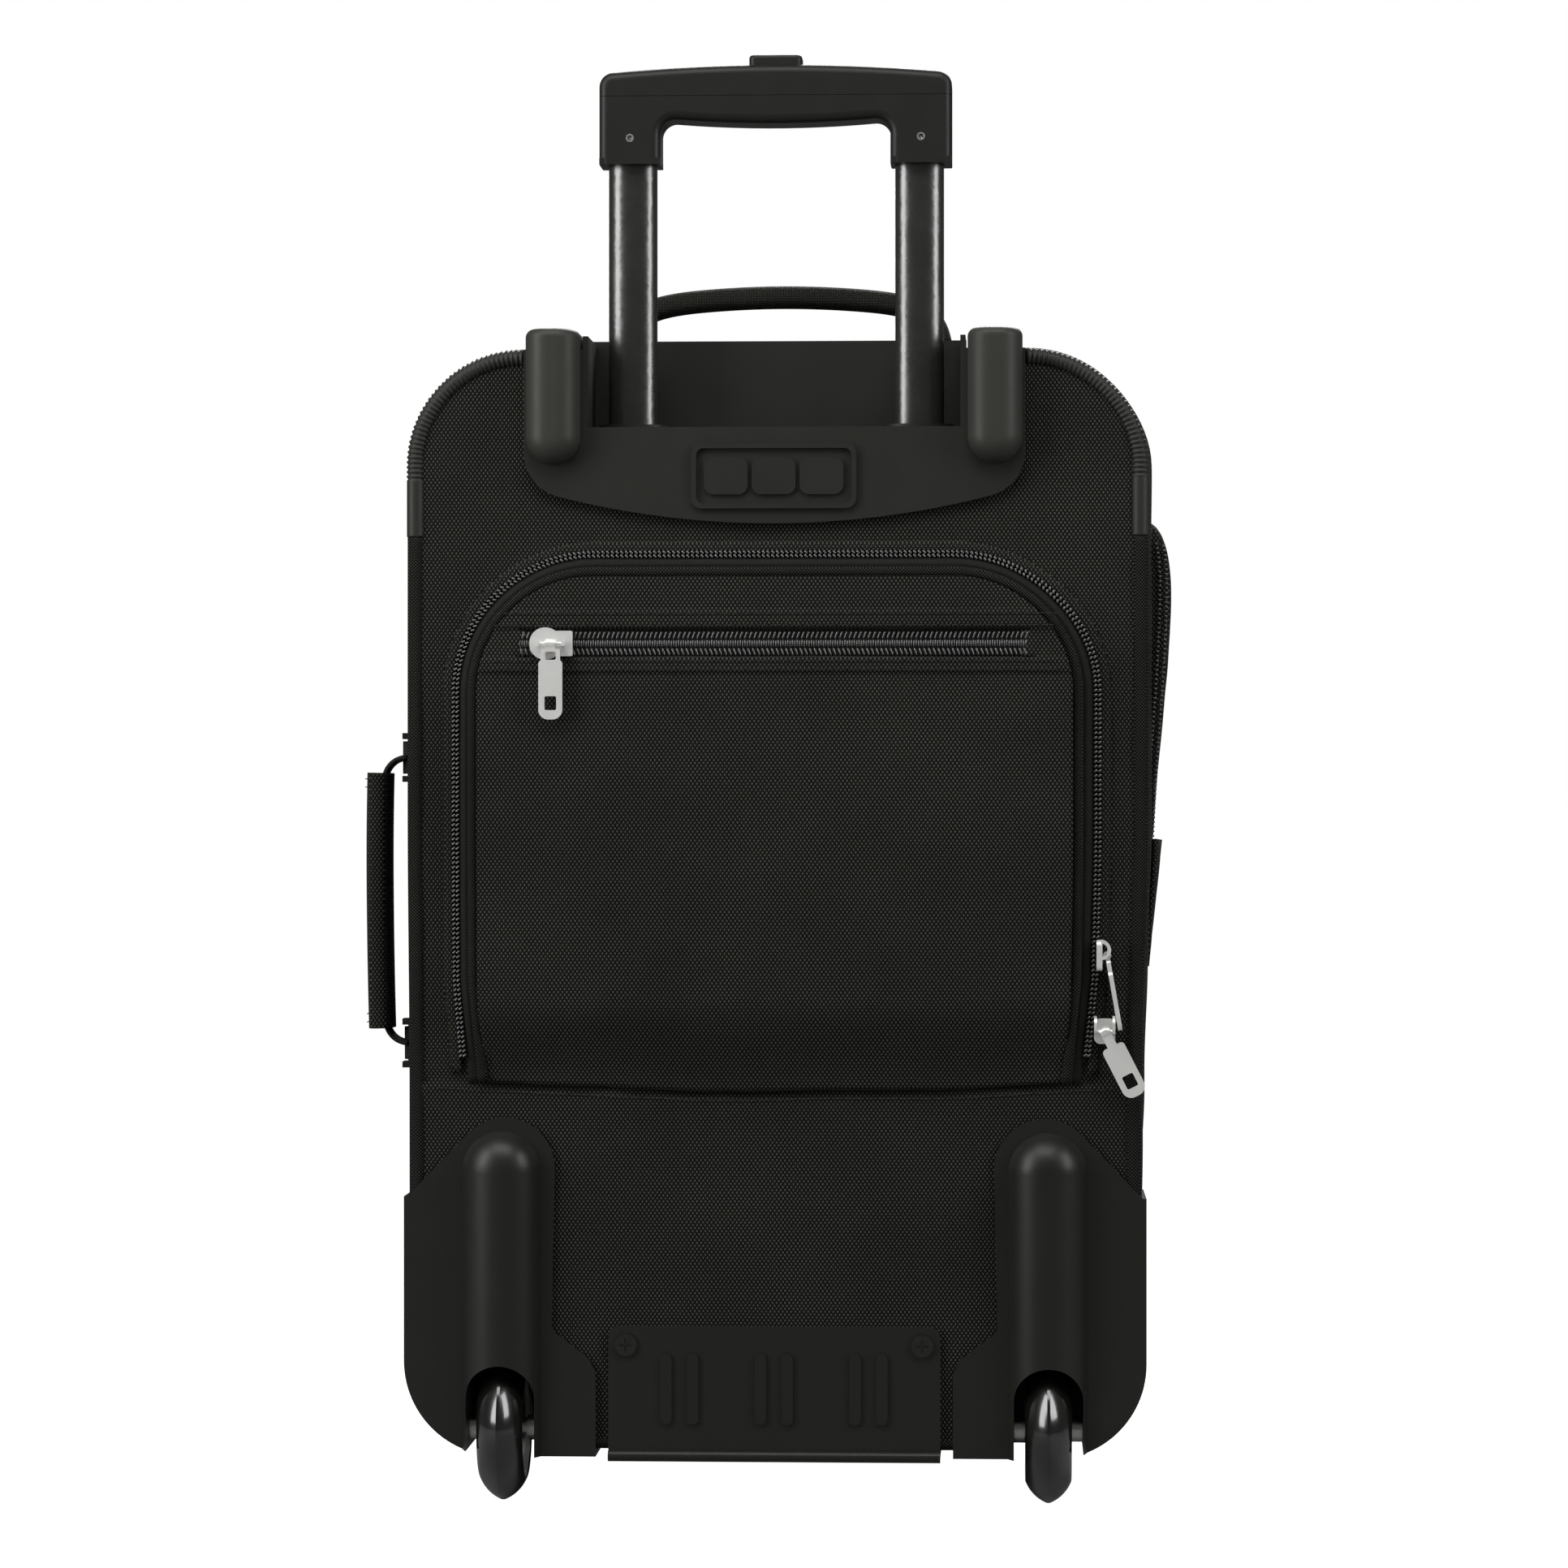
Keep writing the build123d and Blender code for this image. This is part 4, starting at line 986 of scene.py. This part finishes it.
def make_top_handle():
    axis = CASE_Z[1] + PIVOT_OUT
    points = [(-78, 4.5), (-76.5, 13), (-69, 22.4), (-38, 26.2), (0, 27.9)]
    points += [(-x, z) for x, z in points[-2::-1]]

    def place(x, y, z):
        return (x, y, z + axis)

    obj = strap("top_handle_pad", points, 21, 10.8, WEBBING, place, body="top_carry", slot="webbing",
                replaces=["top_carry_handle"])
    for side, x in TOP_PIVOTS:
        sleeve = even([(x - SLEEVE, axis), (x + SLEEVE, axis)], 2.0, False)
        tube(f"top_handle_sleeve_{side}", sleeve, 3.9, 0, False, WEBBING, body="top_carry", slot="webbing")


def make_side_handle():
    axis = -HALF_W - PIVOT_OUT

    def place(a, y, b):
        return (axis - b, SIDE_HANDLE_Y + y, SIDE_HANDLE_Z + a)

    webs = [(-70, 1.5), (-69.5, 6), (-66, 11), (-56, 14.4), (56, 14.4), (66, 11), (69.5, 6), (70, 1.5)]
    strap("side_handle_web", webs, 13, 3.0, WEBBING, place, body="side_carry", slot="webbing",
          replaces=["side_carry_handle"])
    for end, z in SIDE_PIVOTS:
        sleeve = even([(axis, z - SLEEVE), (axis, z + SLEEVE)], 2.0, False)
        tube(f"side_handle_sleeve_{end}", sleeve, 3.7, SIDE_HANDLE_Y, False, WEBBING, body="side_carry",
             slot="webbing")
    pad = [(-62.5, 14.5), (-40, 15.0), (0, 15.2), (40, 15.0), (62.5, 14.5)]
    obj = strap("side_handle_pad", pad, 27, 12.4, BALLISTIC, place, body="side_carry", slot="webbing")
    for index, a in enumerate((-59.5, -55.5, 55.5, 59.5)):
        at = [place(a, y, 14.6 + 6.1) for y in np.arange(-9.5, 10, 3.0)]
        count = len(at)
        scatter(f"side_pad_stitches_{index}", bead(2.1, *THREAD_SIZE), at, [(0, 0, 1)] * count,
                [(0, 1, 0)] * count, [(-1, 0, 0)] * count, THREAD, body="side_carry", slot="webbing")


def make_tie_straps():
    for index, z in enumerate((190, 400)):
        verts = []
        for x in np.linspace(-160, 160, 80):
            for k in range(7):
                verts.append((x, -61.2 + lumps(x, 0, z, 25, 0.25), z - 12 + 4 * k))
        band = piece(f"tie_strap_{index}", verts, grid_faces(80, 7, False, True), WEBBING, body="case",
                     slot="webbing", replaces=["tie_straps"])
        thicken(band, 1.2)
    shell = rounded_box(-24, 24, 385, 415, 5, 5, 3.0)
    rings = [(0, -60.3), (0, -57.6), (-1.4, -56.6), (-6, -56.4)]
    verts, faces = moulding(shell, rings, True)
    faces.append(tuple(i * 4 + 3 for i in range(len(shell)))[::-1])
    piece("tie_buckle", verts, faces, BLOCK, body="case", slot="housing_plastic")


# ---------------------------------------------------------------- CAD pieces

def dress():
    looks = {
        "top_housing": HOUSING, "guide_collars": HOUSING, "tube_foot_bracket": BLOCK,
        "top_bumpers": BUMPER, "wheel_housing_left": SKID, "wheel_housing_right": SKID,
        "skid_plate": SKID, "front_feet": SKID, "skid_plate_screws": DARK_STEEL,
        "grip_upper_shell": GRIP, "grip_lower_shell": GRIP, "release_button": GRIP, "lock_blocks": BLOCK,
        "stage_tubes": PAINT, "guide_tubes": ALLOY, "back_board": BLOCK, "handle_anchors": DARK_STEEL,
        "frame_hoop": STEEL, "wheel_axles": STEEL, "grip_rivets": STEEL, "release_fork": STEEL,
        "lock_pin_left": STEEL, "lock_pin_right": STEEL, "bearings_left": STEEL, "bearings_right": STEEL,
        "tyre_left": TYRE, "tyre_right": TYRE, "hub_left": HUB, "hub_right": HUB,
    }
    for name, obj in NODES.items():
        look = looks.get(name, NICKEL if name.endswith(("_slider", "_pull")) else None)
        if look is None:
            continue
        for index in range(len(obj.material_slots)):
            obj.material_slots[index].material = look


# ---------------------------------------------------------------- stage

def area_light(name, place, target, size, power, tall=None):
    data = bpy.data.lights.new(name, "AREA")
    data.shape = "RECTANGLE"
    data.size = size
    data.size_y = tall or size
    data.energy = power
    obj = bpy.data.objects.new(name, data)
    obj.location = place
    obj.rotation_euler = (Vector(target) - Vector(place)).to_track_quat("-Z", "Y").to_euler()
    bpy.context.scene.collection.objects.link(obj)


def two_way_world():
    """White behind the object, and only a little light from all round."""
    world = bpy.data.worlds.new("studio")
    bpy.context.scene.world = world
    world.use_nodes = True
    tree = world.node_tree
    fill = tree.nodes["Background"]
    fill.inputs[0].default_value = (1, 1, 1, 1)
    fill.inputs[1].default_value = 0.12
    seen = tree.nodes.new("ShaderNodeBackground")
    seen.inputs[0].default_value = (1, 1, 1, 1)
    path = tree.nodes.new("ShaderNodeLightPath")
    mix = tree.nodes.new("ShaderNodeMixShader")
    tree.links.new(path.outputs["Is Camera Ray"], mix.inputs[0])
    tree.links.new(fill.outputs[0], mix.inputs[1])
    tree.links.new(seen.outputs[0], mix.inputs[2])
    tree.links.new(mix.outputs[0], tree.nodes["World Output"].inputs[0])


def make_floor():
    """A pale floor that looks as white as the studio round it and throws little light back."""
    n = Nodes("pale_floor")
    n.set(Base_Color=(0.25, 0.25, 0.25, 1), Roughness=0.9)
    bright = n.tree.nodes.new("ShaderNodeEmission")
    bright.inputs[1].default_value = 1.0
    path = n.tree.nodes.new("ShaderNodeLightPath")
    seen = n.tree.nodes.new("ShaderNodeMixShader")
    both = n.tree.nodes.new("ShaderNodeAddShader")
    n.join(n.shader.outputs[0], both.inputs[0])
    n.join(bright.outputs[0], both.inputs[1])
    n.join(path.outputs["Is Camera Ray"], seen.inputs[0])
    n.join(n.shader.outputs[0], seen.inputs[1])
    n.join(both.outputs[0], seen.inputs[2])
    n.join(seen.outputs[0], n.out.inputs["Surface"])
    far = 60000
    floor = piece("floor", [(-far, -far, 0), (far, -far, 0), (far, far, 0), (-far, far, 0)], [(0, 1, 2, 3)],
                  n.material, smooth=False)


def make_stage():
    scene = bpy.context.scene
    scene.view_settings.view_transform = "Standard"
    two_way_world()
    make_floor()
    area_light("key_box", (-0.1, -0.7, 1.45), (0, -0.1, 0.5), 1.2, 13.5, 0.6)
    area_light("left_strip", (-1.1, -0.75, 0.8), (0, -0.05, 0.45), 0.5, 17, 1.2)
    area_light("right_strip", (1.2, -0.7, 0.9), (0, -0.05, 0.5), 0.45, 12, 1.0)
    area_light("front_fill", (0.25, 1.35, 1.7), (0, 0, 0.35), 1.0, 42)
    data = bpy.data.cameras.new("camera")
    data.lens = 111
    data.sensor_width = 36
    data.clip_end = 100
    camera = bpy.data.objects.new("camera", data)
    camera.location = (0.111, -2.394, 0.343)
    camera.rotation_euler = (math.radians(90), 0, math.radians(2.65))
    scene.collection.objects.link(camera)
    scene.camera = camera


make_back()
make_tub()
make_rear_piping()
make_main_zip()
make_lid()
make_hinge_cloth()
make_flap_panel()
make_flap_edge()
make_pocket_zip()
make_front()
make_side_pocket()
make_top_handle()
make_side_handle()
make_tie_straps()
dress()
make_stage()
